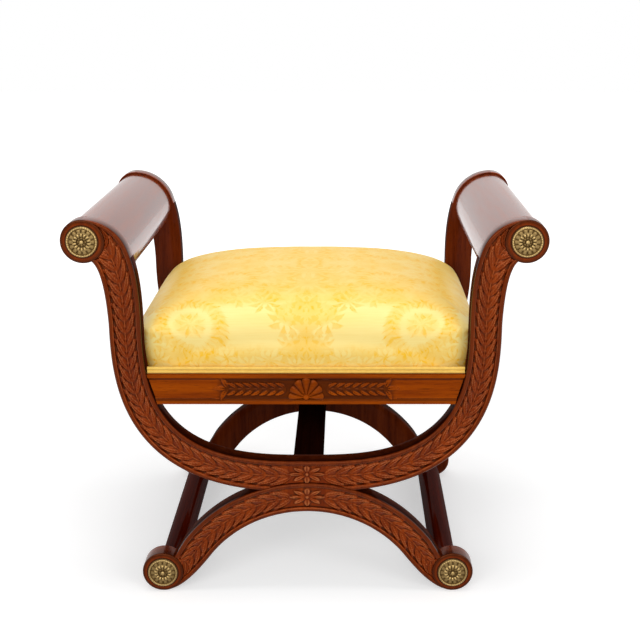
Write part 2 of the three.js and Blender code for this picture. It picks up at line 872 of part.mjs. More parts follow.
// The pieces of the right side, and of the left turned half way round
const rightRailBody = geometryOf(rightRail());
const rollBody = geometryOf(armRoll());
const footRailBody = geometryOf(footRail());
for (const [side, turn] of [["right", 0], ["left", Math.PI]]) {
  const flank = new THREE.Group();
  flank.rotation.z = turn;
  add(flank, `${side}_seat_rail`, rightRailBody, railWood);
  add(flank, `${side}_arm_roll`, rollBody, wood);
  add(flank, `${side}_foot_rail`, footRailBody, wood);
  const cord = add(flank, `${side}_welt`, welt(innerDepth - 2 * clothGap), damask);
  cord.rotation.z = Math.PI / 2;
  cord.position.set(sideRailFace - (weltInset - railRecess), 0, seatBottom);
  stool.add(flank);
}

// A corner block and its two screws in each corner
const blockBody = geometryOf(cornerBlock());
const corners = [
  ["front_right", 1, 1],
  ["front_left", -1, 1],
  ["rear_right", 1, -1],
  ["rear_left", -1, -1],
];
for (const [corner, signX, signY] of corners) {
  const nook = new THREE.Group();
  nook.scale.set(signX, signY, 1);
  add(nook, `${corner}_corner_block`, blockBody, rawWood);
  add(nook, `${corner}_side_screw`, screw(blockScrews[0], 0), steel);
  add(nook, `${corner}_rail_screw`, screw(blockScrews[1], 0), steel);
  stool.add(nook);
}

export default stool;
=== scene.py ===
# %% [markdown]
# # An X-frame stool in carved mahogany and yellow damask
# A stool of the Regency and Empire taste. Two X-shaped frames, each a U of scrolled arms standing on an
# arch with scrolled feet, are joined by arm rolls, seat rails, a stretcher and two foot rails. This
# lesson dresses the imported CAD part: it measures the frame, rebuilds the pieces that show with their
# carving, stuffing and castings, and gives each one the finish of the real thing.

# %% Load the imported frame
import math

import bmesh
import bpy
import numpy as np
from mathutils import Matrix, Vector


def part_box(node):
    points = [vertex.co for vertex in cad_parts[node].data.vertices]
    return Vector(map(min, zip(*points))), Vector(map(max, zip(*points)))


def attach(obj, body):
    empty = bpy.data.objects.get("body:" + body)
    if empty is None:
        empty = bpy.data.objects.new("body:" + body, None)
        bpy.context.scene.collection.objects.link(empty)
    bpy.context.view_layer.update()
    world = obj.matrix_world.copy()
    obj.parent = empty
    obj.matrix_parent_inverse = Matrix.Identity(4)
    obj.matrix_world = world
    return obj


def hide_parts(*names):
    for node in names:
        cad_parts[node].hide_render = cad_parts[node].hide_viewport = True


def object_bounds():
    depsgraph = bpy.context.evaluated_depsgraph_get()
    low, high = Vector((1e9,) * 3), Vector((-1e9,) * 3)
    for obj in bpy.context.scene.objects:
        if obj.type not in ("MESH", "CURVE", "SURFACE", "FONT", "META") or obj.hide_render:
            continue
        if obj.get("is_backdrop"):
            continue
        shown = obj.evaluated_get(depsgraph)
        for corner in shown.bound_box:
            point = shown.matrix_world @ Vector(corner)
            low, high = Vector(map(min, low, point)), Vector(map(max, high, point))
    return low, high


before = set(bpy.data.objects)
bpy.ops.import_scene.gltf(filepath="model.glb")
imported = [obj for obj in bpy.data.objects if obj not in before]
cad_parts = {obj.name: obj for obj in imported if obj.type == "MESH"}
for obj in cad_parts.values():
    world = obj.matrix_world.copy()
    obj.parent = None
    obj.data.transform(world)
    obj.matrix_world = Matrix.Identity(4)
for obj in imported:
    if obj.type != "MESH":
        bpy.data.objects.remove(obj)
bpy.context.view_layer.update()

# %% [markdown]
# ## Sizes
# The pieces must land exactly where the CAD has them, so faces and centres are read from the packed
# nodes. Only the shapes of the curves, which a box can't tell, are written here again, in millimetres.

# %% Read the frame's faces and centres
MM = 0.001


def box_mm(node):
    low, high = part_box(node)
    return np.array(low) / MM, np.array(high) / MM


def middle_of(node):
    low, high = box_mm(node)
    middle = (low + high) / 2
    return np.array([middle[0], middle[2]])


arm_low, arm_high = box_mm("front_arm_right")
leg_high = box_mm("front_leg_right")[1]
rail_low, rail_high = box_mm("front_seat_rail")
front_face, limb_back = arm_low[1], arm_high[1]
scroll = middle_of("front_scroll_rosette_right")
foot = middle_of("front_foot_rosette_right")
scroll_radius = arm_high[0] - scroll[0]
foot_radius = leg_high[0] - foot[0]
crossing_height = leg_high[2]
rail_bottom, rail_top, rail_face = rail_low[2], rail_high[2], rail_low[1]
print("scroll", scroll.round(1), "foot", foot.round(1), "faces", round(front_face, 1), round(limb_back, 1))

# %% The curves' own values, in millimetres and degrees
JOINT_GAP, HAIRLINE, CLOTH_GAP = 0.3, 0.02, 0.8
BOWL_HEIGHT, BOWL_HALF, ELBOW = 215, 240, 430
ARM_BAND, ARM_UNDERSIDE, HEAD_RADIUS = 47, 50, 67.5
INNER_POWER, OUTER_POWER = 2.87, 2.62
HEAD_START, SCROLL_END = 160, -108
NECK_BAND_SHARES, NECK_RISE_SHARES = (0.15, 0.04), (0.93, 0.48)
CROWN_HEIGHT, ARCH_INNER, ARCH_BAND = 132.5, 187, 47
ARCH_END, LEG_TOP, FOOT_START, FOOT_END = 37, 36, -100, 126
ARCH_OUTER = ARCH_INNER + ARCH_BAND
ARCH_CENTRE = np.array([0, CROWN_HEIGHT - ARCH_INNER])
HEAD_CENTRE = np.array([scroll[0], scroll[1] + scroll_radius - HEAD_RADIUS])
between_frames = (limb_back + JOINT_GAP, -limb_back - JOINT_GAP)
print("clear span between the frames:", round(-2 * between_frames[0]), "mm")

# %% [markdown]
# ## Curves
# A carver draws each limb as two edges. These helpers draw arcs and Bezier curves, walk along them at
# equal steps, and pair the two edges of a band so that each pair spans it squarely, like a ladder's rungs.

# %% Helpers for curves in the XZ plane


def arc(centre, radius, start, end, count=240):
    angle = np.radians(np.linspace(start, end, count))
    return centre + radius * np.column_stack([np.cos(angle), np.sin(angle)])


def bezier(start, pull, push, end, count=240):
    t = np.linspace(0, 1, count)[:, None]
    start, pull, push, end = (np.asarray(p, float) for p in (start, pull, push, end))
    return (1 - t) ** 3 * start + 3 * t * (1 - t) ** 2 * pull + 3 * t * t * (1 - t) * push + t**3 * end


def bowl(half_width, depth, power, count=4000):
    angle = np.linspace(0, math.pi / 2, count)
    x = half_width * np.sin(angle) ** (2 / power)
    return np.column_stack([x, ELBOW - depth * np.clip(np.cos(angle), 0, 1) ** (2 / power)])


def run_of(points):
    return np.concatenate([[0], np.cumsum(np.linalg.norm(np.diff(points, axis=0), axis=1))])


def spaced(points, count):
    run = run_of(points)
    at = np.linspace(0, run[-1], count)
    return np.column_stack([np.interp(at, run, points[:, k]) for k in (0, 1)])


def nearest(points, line):
    return np.array([line[np.argmin(((line - p) ** 2).sum(1))] for p in points])


# %% [markdown]
# ## The relief of the carving
# The limbs' faces are carved in low relief: a garland of laurel between two rounded edge beads, and a
# star of leaves at the crossing. Single leaf objects would be easy, but a carving is one surface cut
# into one board, so each face is a fine grid pushed in and out by a depth that these functions give.
# How far a point lies below or above its surroundings is kept in an attribute, so that the finish can paint
# shade into the hollows and a highlight onto the crests.

# %% Beads and leaves
BEAD = 7.5
GROUND = BEAD / 2 + 0.4
RELIEF, VEIN = 3.7, 4.2
LEAF_PITCH, LEAF_LENGTH = 19, 32
print("carved field:", GROUND, "mm below the crest of the beads, leaves", RELIEF, "mm high")


def bead_depth(distance, width=BEAD):
    """Depth of a half-round edge bead below its crest, at a distance from the edge."""
    radius = width / 2
    return radius - np.sqrt(np.clip(radius**2 - (distance - radius) ** 2, 0, None))


def leaf(along, across, length, half_width):
    """Height share of a laurel leaf: a rounded blade, bowed, that rises to its tip, with a cut rib."""
    share = along / length
    inside = (share > 0) & (share < 1)
    share = np.clip(share, 1e-4, 1 - 1e-4)
    across = across - 0.07 * length * np.sin(math.pi * share)
    half = half_width * np.sin(math.pi * share**0.75) ** 0.8
    reach = np.clip(np.abs(across) / np.maximum(half, 1e-3), 0, 1)
    rib = 1 - 0.4 * np.exp(-((across / (0.2 * half_width)) ** 2))
    vein = 1 + 0.13 * np.cos(2 * math.pi * (along - 1.4 * np.abs(across)) / VEIN) * (half > 2)
    return np.where(inside, (0.35 + 0.65 * share) * (1 - reach**2) ** 0.7 * rib * vein, 0)


def leaf_at(x, z, base_x, base_z, degrees, length, half_width):
    """A leaf that starts at a base and points at an angle from +X towards +Z."""
    turn = math.radians(degrees)
    dx, dz = x - base_x, z - base_z
    along = dx * math.cos(turn) + dz * math.sin(turn)
    return leaf(along, dz * math.cos(turn) - dx * math.sin(turn), length, half_width)


def garland(station, offset, half_field, start, end, pitch, length, rise=0.74, half_width=0.25):
    """Pairs of leaves on a stem, each pair lying over the foot of the next one.

    Rise and half width are shares of the half field: how far out a leaf's tip leans, and how broad it is.
    """
    height = np.where((np.abs(offset) < 1.2) & (station > start) & (station < end), 0.3, 0)
    step = np.floor((station - start) / pitch)
    reach = np.hypot(length, rise * half_field)
    for back in range(3):
        base = start + (step - back) * pitch
        grown = (base > start - pitch / 2) & (base + 0.8 * length < end)
        for side in (-1, 1):
            dx, dy = station - base, side * offset - 0.06 * half_field
            along = (dx * length + dy * rise * half_field) / reach
            across = (dy * length - dx * rise * half_field) / reach
            height = np.maximum(height, grown * leaf(along, across, reach, half_width * half_field))
    return height


def laurel(station, offset, half_field, start, end):
    """A full garland: the main leaves, with lower leaves in the gaps that lean further out."""
    main = garland(station, offset, half_field, start, end, LEAF_PITCH, LEAF_LENGTH)
    gaps = start + LEAF_PITCH / 2
    under = garland(station, offset, half_field, gaps, end, LEAF_PITCH, 0.72 * LEAF_LENGTH, 0.98, 0.24)
    return np.maximum(0.62 * under, main)


STAR_HALF_X, STAR_HALF_Z, STAR_LEAVES = 28, 15, 8


def star(x, z):
    """Leaves that radiate from a small boss, drawn out to an oval."""
    wide, high = x / STAR_HALF_X, z / STAR_HALF_Z
    radius, angle = np.hypot(wide, high), np.arctan2(high, wide)
    turn = np.abs((angle * STAR_LEAVES / (2 * math.pi) + 0.5) % 1 - 0.5) * 2
    width = np.clip(1.1 * (1 - np.clip(radius, 0, 1) ** 2.5), 1e-3, 1)
    reach = np.clip(turn / width, 0, 1)
    rib = 1 - 0.45 * np.exp(-((turn * radius / 0.09) ** 2))
    height = np.where(radius < 1, (0.4 + 0.6 * radius) * (1 - reach**2.2) ** 0.6 * rib, 0)
    boss = np.hypot(x, z) / 3.2
    return np.maximum(height, np.sqrt(np.clip(1 - boss**2, 0, 1)))


def averaged(grid, reach=3):
    """The mean of a grid's values in a small square round each one."""
    high, wide = grid.shape
    padded, side = np.pad(grid, reach, mode="edge"), 2 * reach + 1
    return sum(padded[i : i + high, j : j + wide] for i in range(side) for j in range(side)) / side**2


# %% [markdown]
# ## Pieces of wood
# A limb is sawn from a board. Its outline could be extruded, but a flat face of one polygon has no room
# for carving, so each carved board starts from bmesh's grid. The rows are laid on the rungs of the band
# and go round it, so the back and its arris, eased as sandpaper would ease it, are part of the same skin.

# %% Make a piece of the object from a finished bmesh
pieces_made = []


def add_piece(bm, name, finish, nodes, sharp=42):
    """Writes the bmesh as a piece at the origin that rides on the frame and stands for CAD nodes."""
    mesh = bpy.data.meshes.new(name)
    bm.to_mesh(mesh)
    mesh.polygons.foreach_set("use_smooth", [True] * len(mesh.polygons))
    mesh.set_sharp_from_angle(angle=math.radians(sharp))
    mesh.materials.append(finish)
    piece = bpy.data.objects.new(name, mesh)
    bpy.context.scene.collection.objects.link(piece)
    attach(piece, "root")
    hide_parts(*nodes)
    pieces_made.append(name)
    return piece


SIDES = {"left": (-1, 1), "right": (1, 1)}
ENDS = {"front": (1, 1), "rear": (1, -1)}
QUARTERS = {"front_right": (1, 1), "front_left": (-1, 1), "rear_right": (1, -1), "rear_left": (-1, -1)}


def add_turned(bm, name, finish, node, signs, sharp=42):
    """Adds a copy of the bmesh, mirrored by its signs in X and Y, for one node."""
    copy = bm.copy()
    bmesh.ops.scale(copy, vec=(signs[0], signs[1], 1), verts=copy.verts)
    if signs[0] * signs[1] < 0:
        bmesh.ops.reverse_faces(copy, faces=copy.faces)
    piece = add_piece(copy, name, finish, [node], sharp)
    copy.free()
    return piece


# %% A carved board from a grid
EASE, EDGE_GLAZE, DEEP_HOLLOW = 1.2, 0.45, 1.2


def carved_board(inner, outer, shares, relief, back, limit=None):
    """A board whose face is a grid laid on rungs from an inner to an outer edge and cut to a relief.

    Each row of the grid goes once round the board: over the face, round the eased arris, and across the back.
    The limit says, row by row, which share of the rung is wood, where another limb covers the rest.
    """
    turns = np.radians([0, 30, 60, 90])
    on_face = len(shares)
    ring = on_face + 2 * len(turns) + 1
    bm = bmesh.new()
    bmesh.ops.create_grid(bm, x_segments=len(inner) - 1, y_segments=ring - 1, size=1)
    start = np.array([v.co for v in bm.verts])
    row = np.rint((start[:, 0] + 1) / 2 * (len(inner) - 1)).astype(int)
    step = np.rint((start[:, 1] + 1) / 2 * (ring - 1)).astype(int) % (ring - 1)
    limit = np.ones(len(inner)) if limit is None else limit
    width = np.linalg.norm(outer - inner, axis=1)
    ease = np.minimum(EASE, 0.3 * limit * width)
    draw = np.concatenate([1 - np.cos(turns), (1 - np.cos(turns))[::-1]])
    drop = np.concatenate([np.sin(turns), np.sin(turns)[::-1]])
    far_side = np.repeat([1.0, 0.0], len(turns))
    face = step < on_face
    behind = np.clip(step - on_face, 0, len(draw) - 1)
    inset = draw[behind] * ease[row] / width[row]
    share = np.where(face, shares[np.minimum(step, on_face - 1)], far_side[behind]) * limit[row]
    share = np.where(face, share, share + np.where(far_side[behind] > 0, -inset, inset))
    flat = inner[row] + (outer - inner)[row] * share[:, None]
    station = run_of((inner + outer) / 2)[row]
    depth = relief(station, share * width[row], (1 - share) * width[row], flat)
    cut = np.zeros((len(inner), on_face))
    cut[row[face], step[face]] = depth[face]
    # How far each point lies below the mean round it: the finish paints shade where this is high and a
    # highlight where it is low.
    cavity = (cut - averaged(cut))[row, np.minimum(step, on_face - 1)]
    cavity = np.where(face, np.clip(cavity / DEEP_HOLLOW, -1, 1), 0)
    # The edge beads are darkened as well.
    at_edge = face & (np.minimum(share, 1 - share) * width[row] < BEAD - 1.5)
    cavity = np.where(at_edge, np.maximum(cavity, EDGE_GLAZE), cavity)
    hollow = bm.verts.layers.float.new("hollow")
    places = zip(bm.verts, flat, depth, face, back - ease[row] * (1 - drop[behind]), cavity)
    for v, (x, z), d, on, low, glazed in places:
        v.co = Vector((x, front_face + d if on else low, max(z, 0))) * MM
        v[hollow] = float(glazed)
    bmesh.ops.remove_doubles(bm, verts=bm.verts, dist=1e-6)
    bmesh.ops.holes_fill(bm, edges=[e for e in bm.edges if e.is_boundary])
    bmesh.ops.recalc_face_normals(bm, faces=bm.faces)
    return bm


def plain_behind(bm, boss, radius, head_from=math.inf):
    """Gives the back and the sides the darker finish of painted shade, apart from the sides of the boss and
    of the head.
    """
    for f in bm.faces:
        middle = f.calc_center_median() / MM
        deep = max(v.co.y for v in f.verts) > (front_face + GROUND + 0.3) * MM
        on_boss = math.hypot(middle.x - boss[0], middle.z - boss[1]) < radius + 0.5
        polished = (on_boss or middle.z > head_from) and abs(f.normal.y) < 0.9
        f.material_index = int(deep and not polished)


def turned_part(bm, centre, profile, steps=96):
    """Spins a profile of (radius, depth) pairs about a line along Y and adds it to the bmesh."""
    ring = [bm.verts.new(Vector((centre[0] + r, y, centre[1])) * MM) for r, y in profile]
    edges = [bm.edges.new(pair) for pair in zip(ring, ring[1:])]
    axis_at = Vector((centre[0], 0, centre[1])) * MM
    bmesh.ops.spin(
        bm, geom=ring + edges, cent=axis_at, axis=(0, 1, 0), angle=2 * math.pi, steps=steps, use_merge=True
    )
    bmesh.ops.remove_doubles(bm, verts=bm.verts, dist=1e-6)
    bmesh.ops.recalc_face_normals(bm, faces=bm.faces)


# The rings of points on a boss's face, round its rosette, between which the painted shadow round the rosette
# fades out.
SEAT_RINGS = (21, 24.2, 25.4)
BOSS_ROLL = 2.5


def rounded_disc(radius, front, back):
    """Profile of a plain disc with a rolled front edge and an eased back edge."""
    quarter = np.linspace(0, math.pi / 2, 7)
    seat = [(0, front)] + [(r, front) for r in SEAT_RINGS]
    flat = radius - BOSS_ROLL
    roll = [(flat + BOSS_ROLL * math.sin(t), front + BOSS_ROLL * (1 - math.cos(t))) for t in quarter]
    return seat + roll + [(radius, back - EASE), (radius - EASE, back), (0, back)]


def boss_at(bm, centre, radius):
    """Adds a turned boss to a limb, with painted shade along its rim and a painted shadow where it meets its
    rosette.
    """
    turned_part(bm, centre, rounded_disc(radius, front_face, limb_back))
    hollow = bm.verts.layers.float["hollow"]
    rim = radius - BOSS_ROLL - 0.2
    for v in bm.verts:
        out = math.hypot(v.co.x / MM - centre[0], v.co.z / MM - centre[1])
        if out < radius + 0.1 and v.co.y / MM < front_face + BOSS_ROLL + 0.1:
            # Painted shadow round the rosette, and painted shade on the boss's rolled rim.
            v[hollow] = 0.9 if out < SEAT_RINGS[1] + 0.1 else 0.15 if out < rim else 0.8


# %% [markdown]
# ## The colours and the node helper
# Colours are read off a swatch as sRGB hex and turned to linear light by one function. Each material is
# a small node tree, built with one function that adds a node, sets it and links what feeds it.

# %% Colour and node helpers


def colour(code):
    parts = [int(code[i : i + 2], 16) / 255 for i in (1, 3, 5)]
    return [p / 12.92 if p <= 0.04045 else ((p + 0.055) / 1.055) ** 2.4 for p in parts] + [1]


def feed(tree, made, feeds):
    """Links or sets a node's inputs, by name or number. A node that feeds one gives its first live output."""
    for key, value in feeds.items():
        if isinstance(value, bpy.types.Node):
            value = next(s for s in value.outputs if s.enabled)
        if isinstance(value, bpy.types.NodeSocket):
            tree.links.new(value, made.inputs[key])
        else:
            made.inputs[key].default_value = value


def node(tree, kind, feeds=None, **settings):
    """Adds a node, sets its properties, and feeds its inputs."""
    made = tree.nodes.new("ShaderNode" + kind)
    for key, value in settings.items():
        setattr(made, key, value)
    feed(tree, made, feeds or {})
    return made


def new_finish(name):
    """A material with only its output and a Principled shader."""
    finish = bpy.data.materials.new(name)
    finish.use_nodes = True
    tree = finish.node_tree
    shader = next(n for n in tree.nodes if n.type == "BSDF_PRINCIPLED")
    return finish, tree, shader


# %% [markdown]
# ## French-polished mahogany
# Mahogany is a red-brown wood with short dark pores along a straight grain. A clear polish lies over it.
# The carving's hollows are darkened nearly to black as painted shade, and its crests are lightened by a
# painted highlight, partly also rubbed wear. The pattern is stretched along the grain. Real pores are about
# 0.2 mm wide and would not show, so they are drawn about 0.9 mm wide and 15 mm long. The sides of the limbs
# were never rubbed up and have hardly any shine, and their darker colour is painted shade.

# %% Mahogany, for the limbs, rolls and rails


def mahogany(name, dark, light, glaze, grain_axis="Z", gloss=0.2, specular=0.4, coat=0.0, tint="#ff9a66"):
    """Polished mahogany: warm and streaked, with painted shade in the hollows and a painted highlight, partly
    rubbed wear, on the crests.
    """
    finish, tree, shader = new_finish(name)
    place = node(tree, "TexCoord").outputs["Object"]
    stretch = {"X": (0.06, 1, 1), "Y": (1, 0.06, 1), "Z": (1, 1, 0.06)}[grain_axis]
    grain_at = node(tree, "Mapping", {"Vector": place, "Scale": stretch})
    figure = node(tree, "TexNoise", {"Vector": grain_at, "Scale": 90, "Detail": 5, "Roughness": 0.6})
    pores = node(tree, "TexNoise", {"Vector": grain_at, "Scale": 1100, "Detail": 2})
    band = node(tree, "MapRange", {0: figure, 1: 0.35, 2: 0.65})
    board = node(tree, "Mix", {0: band, 6: colour(dark), 7: colour(light)}, data_type="RGBA")
    pore = node(tree, "MapRange", {0: pores, 1: 0.56, 2: 0.68, 3: 0, 4: 0.4})
    board = node(tree, "Mix", {0: pore, 6: board, 7: colour(glaze)}, data_type="RGBA")
    hollow = node(tree, "Attribute", attribute_name="hollow").outputs["Fac"]
    # Painted shade: darker towards the dark colour where the hollow attribute is high.
    gathered = node(tree, "MapRange", {0: hollow, 1: 0.05, 2: 0.9, 3: 0, 4: 0.92})
    board = node(tree, "Mix", {0: gathered, 6: board, 7: colour(glaze)}, data_type="RGBA")
    # Painted highlight on the crests, where the hollow attribute is below zero, partly also rubbed wear.
    worn = node(tree, "MapRange", {0: hollow, 1: -0.85, 2: -0.15, 3: 0.6, 4: 0})
    board = node(tree, "Mix", {0: worn, 6: board, 7: colour("#bd7040")}, data_type="RGBA")
    polish = node(tree, "MapRange", {0: figure, 1: 0.3, 2: 0.7, 3: gloss - 0.05, 4: gloss + 0.06})
    dent = node(tree, "Bump", {"Strength": 0.25, "Distance": 0.00005, "Height": pores})
    feed(tree, shader, {
        "Base Color": board, "Roughness": polish, "Normal": dent,
        "Specular IOR Level": specular, "Specular Tint": colour(tint),
        "Coat Weight": coat, "Coat Roughness": 0.08,
    })
    return finish


# The carved faces: painted shade in their hollows and a painted highlight on their crests.
limb_wood = mahogany("Polished mahogany, shaded", "#641b00", "#853002", "#1a0400")
# The sides and backs of the limbs: darker, as painted shade, and with hardly any shine.
plain_wood = mahogany("Polished mahogany, sides in painted shade", "#4e1906", "#6c2a0c", "#1c0602", "Z", 0.35, 0.0, 0.05)
roll_wood = mahogany(
    "Polished mahogany, arm rolls", "#6a2206", "#86360e", "#2a0a02", "Y", 0.2, 0.5, 0.38, tint="#fff4ea"
)
rail_wood = mahogany("Polished mahogany, seat rails", "#7a2d00", "#a04601", "#2a0a01", "X", 0.22, 0.2)
side_wood = mahogany("Polished mahogany, side rails", "#7a2d00", "#a04601", "#2a0a01", "Y", 0.22, 0.2)
# The foot rails are darker than the limbs: dark wood, and partly painted shade under the seat.
foot_rail_wood = mahogany("Dark polished mahogany", "#420b02", "#5c1604", "#1c0602", "Y", 0.2, 0.0, 0.07)
# The stretcher sits in the shade under the seat: its near-black colour is painted shade.
stained_wood = mahogany("Mahogany darkened as painted shade", "#160502", "#240903", "#0e0201", "Y", 0.5, 0.0)
print("mahogany finishes:", [finish.name for finish in bpy.data.materials])

# %% [markdown]
# ## The arms
# Each arm is sawn from one board: half of the U, the neck, and a head that sweeps over the arm roll to
# the scroll. Where the U stands on the arch it is coped, cut to the arch's own curve, so there its bead
# slides behind the arch's bead. The scroll's plain face is a turned boss.

# %% The two edges of an arm
RUNG_PITCH, BOWL_RUNGS = 1.15, 380
NECK_REACH = BOWL_HALF + ARM_BAND
SEAT_STEP = 2
scroll_seat = scroll_radius - SEAT_STEP

inner_bowl = bowl(BOWL_HALF, ELBOW - BOWL_HEIGHT, INNER_POWER)
outer_bowl = bowl(NECK_REACH, ELBOW - BOWL_HEIGHT + ARM_UNDERSIDE, OUTER_POWER)
neck_end = arc(scroll, scroll_seat, SCROLL_END, SCROLL_END, 1)[0]
neck_rise = arc(scroll, scroll_radius, SCROLL_END, SCROLL_END, 1)[0][1] - ELBOW
neck_pulls = [
    (NECK_REACH + ARM_BAND * band, ELBOW + neck_rise * rise)
    for band, rise in zip(NECK_BAND_SHARES, NECK_RISE_SHARES)
]
neck = bezier((NECK_REACH, ELBOW), neck_pulls[1], neck_pulls[0], neck_end)
sweep_end = arc(HEAD_CENTRE, HEAD_RADIUS, HEAD_START, HEAD_START, 1)[0]
lean = math.radians(HEAD_START)
sweep_rise = sweep_end[1] - ELBOW
sweep = bezier(
    (BOWL_HALF, ELBOW),
    (BOWL_HALF, ELBOW + 0.4 * sweep_rise),
    sweep_end - np.array([math.sin(lean), -math.cos(lean)]) * 0.3 * sweep_rise,
    sweep_end,
)
head = np.vstack([sweep, arc(HEAD_CENTRE, HEAD_RADIUS, HEAD_START, 90)[1:]])
split = int(np.argmin(((head - neck_end) ** 2).sum(1)))

bowl_middle = spaced((inner_bowl + outer_bowl) / 2, BOWL_RUNGS)
arm_inner = [nearest(bowl_middle, inner_bowl)]
arm_outer = [nearest(bowl_middle, outer_bowl)]
for inner_part, outer_part in (
    (head[: split + 1], neck),
    (head[split:], arc(scroll, scroll_seat, 360 + SCROLL_END, 90)),
):
    count = int(run_of(inner_part)[-1] / RUNG_PITCH)
    arm_inner.append(spaced(inner_part, count)[1:])
    arm_outer.append(spaced(outer_part, count)[1:])
neck_row = sum(len(part) for part in arm_inner[:2])
arm_inner, arm_outer = np.vstack(arm_inner), np.vstack(arm_outer)
arm_inner[0, 0] = arm_outer[0, 0] = HAIRLINE
arm_run = run_of((arm_inner + arm_outer) / 2)
print("arm rungs:", len(arm_inner), "length", round(arm_run[-1]), "mm")

# %% Where the U is coped over the arch, and the carving of an arm
cuts = np.linspace(0, 1, 400)
cope = np.array([
    cuts[np.linalg.norm(a + (b - a) * cuts[:, None] - ARCH_CENTRE, axis=1) > ARCH_OUTER + JOINT_GAP].max()
    for a, b in zip(arm_inner, arm_outer)
])
bead_shares = np.linspace(0, 0.16, 12)
field_shares = np.linspace(0.16, 0.84, 36)
across = np.unique(np.concatenate([bead_shares, field_shares, np.linspace(0.84, 1, 12)]))
GARLAND_START, ARM_GARLAND_CLEAR, LEG_GARLAND_CLEAR = 24, 20, 30


def limb_relief(run, boss_row, garland_clear, star_z):
    """The carving of a limb: edge beads, of which the second ends at the boss, a garland and the star."""

    def relief(station, from_first, from_second, flat):
        on_band = station < run[boss_row]
        free = np.where(on_band, from_second - BEAD, from_second - SEAT_STEP)
        half_field = np.maximum((from_first - BEAD + free) / 2, 0.5)
        offset = from_first - BEAD - half_field
        leaves = laurel(station, offset, half_field, GARLAND_START, run[-1] - garland_clear)
        leaves = np.maximum(leaves, star(flat[:, 0], flat[:, 1] - star_z))
        depth = GROUND - RELIEF * leaves
        depth = np.where(from_first < BEAD, bead_depth(from_first), depth)
        return np.where(on_band & (from_second < BEAD), bead_depth(from_second), depth)

    return relief


arm_star_z = (crossing_height + BOWL_HEIGHT - BEAD) / 2
arm_relief = limb_relief(arm_run, neck_row, ARM_GARLAND_CLEAR, arm_star_z)
arm = carved_board(arm_inner, arm_outer, across, arm_relief, limb_back, cope)
boss_at(arm, scroll, scroll_radius)
plain_behind(arm, scroll, scroll_radius, head_from=scroll[1] - 0.75 * scroll_radius)
print("arm:", len(arm.faces), "faces")

# %% [markdown]
# ## The legs
# A leg is half of the arch. Its lower edge sweeps out into the sole of the foot, and its upper edge ends
# at the foot's boss. The garland runs down from the star at the crown. It is carved as the arm is, so the
# same functions make it from two edges of its own.

# %% The edges, the carving and the boss of a leg
lower_arc = arc(ARCH_CENTRE, ARCH_INNER, 90, ARCH_END)
upper_arc = arc(ARCH_CENTRE, ARCH_OUTER, 90, LEG_TOP)
sole = arc(foot, foot_radius, FOOT_START, FOOT_START, 1)[0]
reach, fall = sole - lower_arc[-1]
slope = np.array([math.sin(math.radians(ARCH_END)), -math.cos(math.radians(ARCH_END))])
shank = bezier(
    lower_arc[-1], lower_arc[-1] - slope * fall * 0.66, (sole[0] - reach * 0.32, sole[1] - fall * 0.05), sole
)
foot_seat = foot_radius - SEAT_STEP
ARCH_RUNGS, SHANK_RUNGS, SHANK_POINTS = 160, 90, 100
shank_top = np.linspace(upper_arc[-1], arc(foot, foot_radius, FOOT_END, FOOT_END, 1)[0], SHANK_POINTS)
boss_side = np.vstack([shank_top, arc(foot, foot_seat, FOOT_END, 360 + FOOT_START)])
leg_inner = np.vstack([spaced(lower_arc, ARCH_RUNGS), spaced(shank, SHANK_RUNGS)[1:]])
leg_outer = np.vstack([spaced(upper_arc, ARCH_RUNGS), spaced(boss_side, SHANK_RUNGS)[1:]])
leg_inner[0, 0] = leg_outer[0, 0] = HAIRLINE
leg_run = run_of((leg_inner + leg_outer) / 2)
side_run = run_of(boss_side)
boss_row = ARCH_RUNGS + int(SHANK_RUNGS * side_run[SHANK_POINTS - 1] / side_run[-1])
leg_star_z = (CROWN_HEIGHT + crossing_height) / 2
leg_relief = limb_relief(leg_run, boss_row, LEG_GARLAND_CLEAR, leg_star_z)
leg = carved_board(leg_inner, leg_outer, across, leg_relief, limb_back)
boss_at(leg, foot, foot_radius)
plain_behind(leg, foot, foot_radius)
for v in leg.verts:
    v.co.z = max(v.co.z, 0)
print("leg:", len(leg.faces), "faces")

# %% Set the eight limbs
for quarter, signs in QUARTERS.items():
    end, side = quarter.split("_")
    for board, part in ((arm, "arm"), (leg, "leg")):
        name, node_name = f"{end}_carved_{part}_{side}", f"{end}_{part}_{side}"
        add_turned(board, name, limb_wood, node_name, signs).data.materials.append(plain_wood)
print("limbs set:", len(pieces_made))

# %% [markdown]
# ## Arm rolls, stretcher and foot rails
# The rolls are long mouldings of one section: they follow the scroll and the sweep a little inside the
# arms' heads, and end in a soft nose. An extruded outline is the honest way to make a moulding. The
# stretcher is a square bar, and the foot rails are turned round.

# %% A moulding along Y


def prism(outline, start, end):
    """Extrudes a closed outline in the XZ plane from one depth to another."""
    bm = bmesh.new()
    ring = [bm.verts.new(Vector((x, start, z)) * MM) for x, z in outline]
    face = bm.faces.new(ring)
    grown = bmesh.ops.extrude_face_region(bm, geom=[face])["geom"]
    far_end = [g for g in grown if isinstance(g, bmesh.types.BMVert)]
    bmesh.ops.translate(bm, vec=(0, (end - start) * MM, 0), verts=far_end)
    bmesh.ops.recalc_face_normals(bm, faces=bm.faces)
    return bm


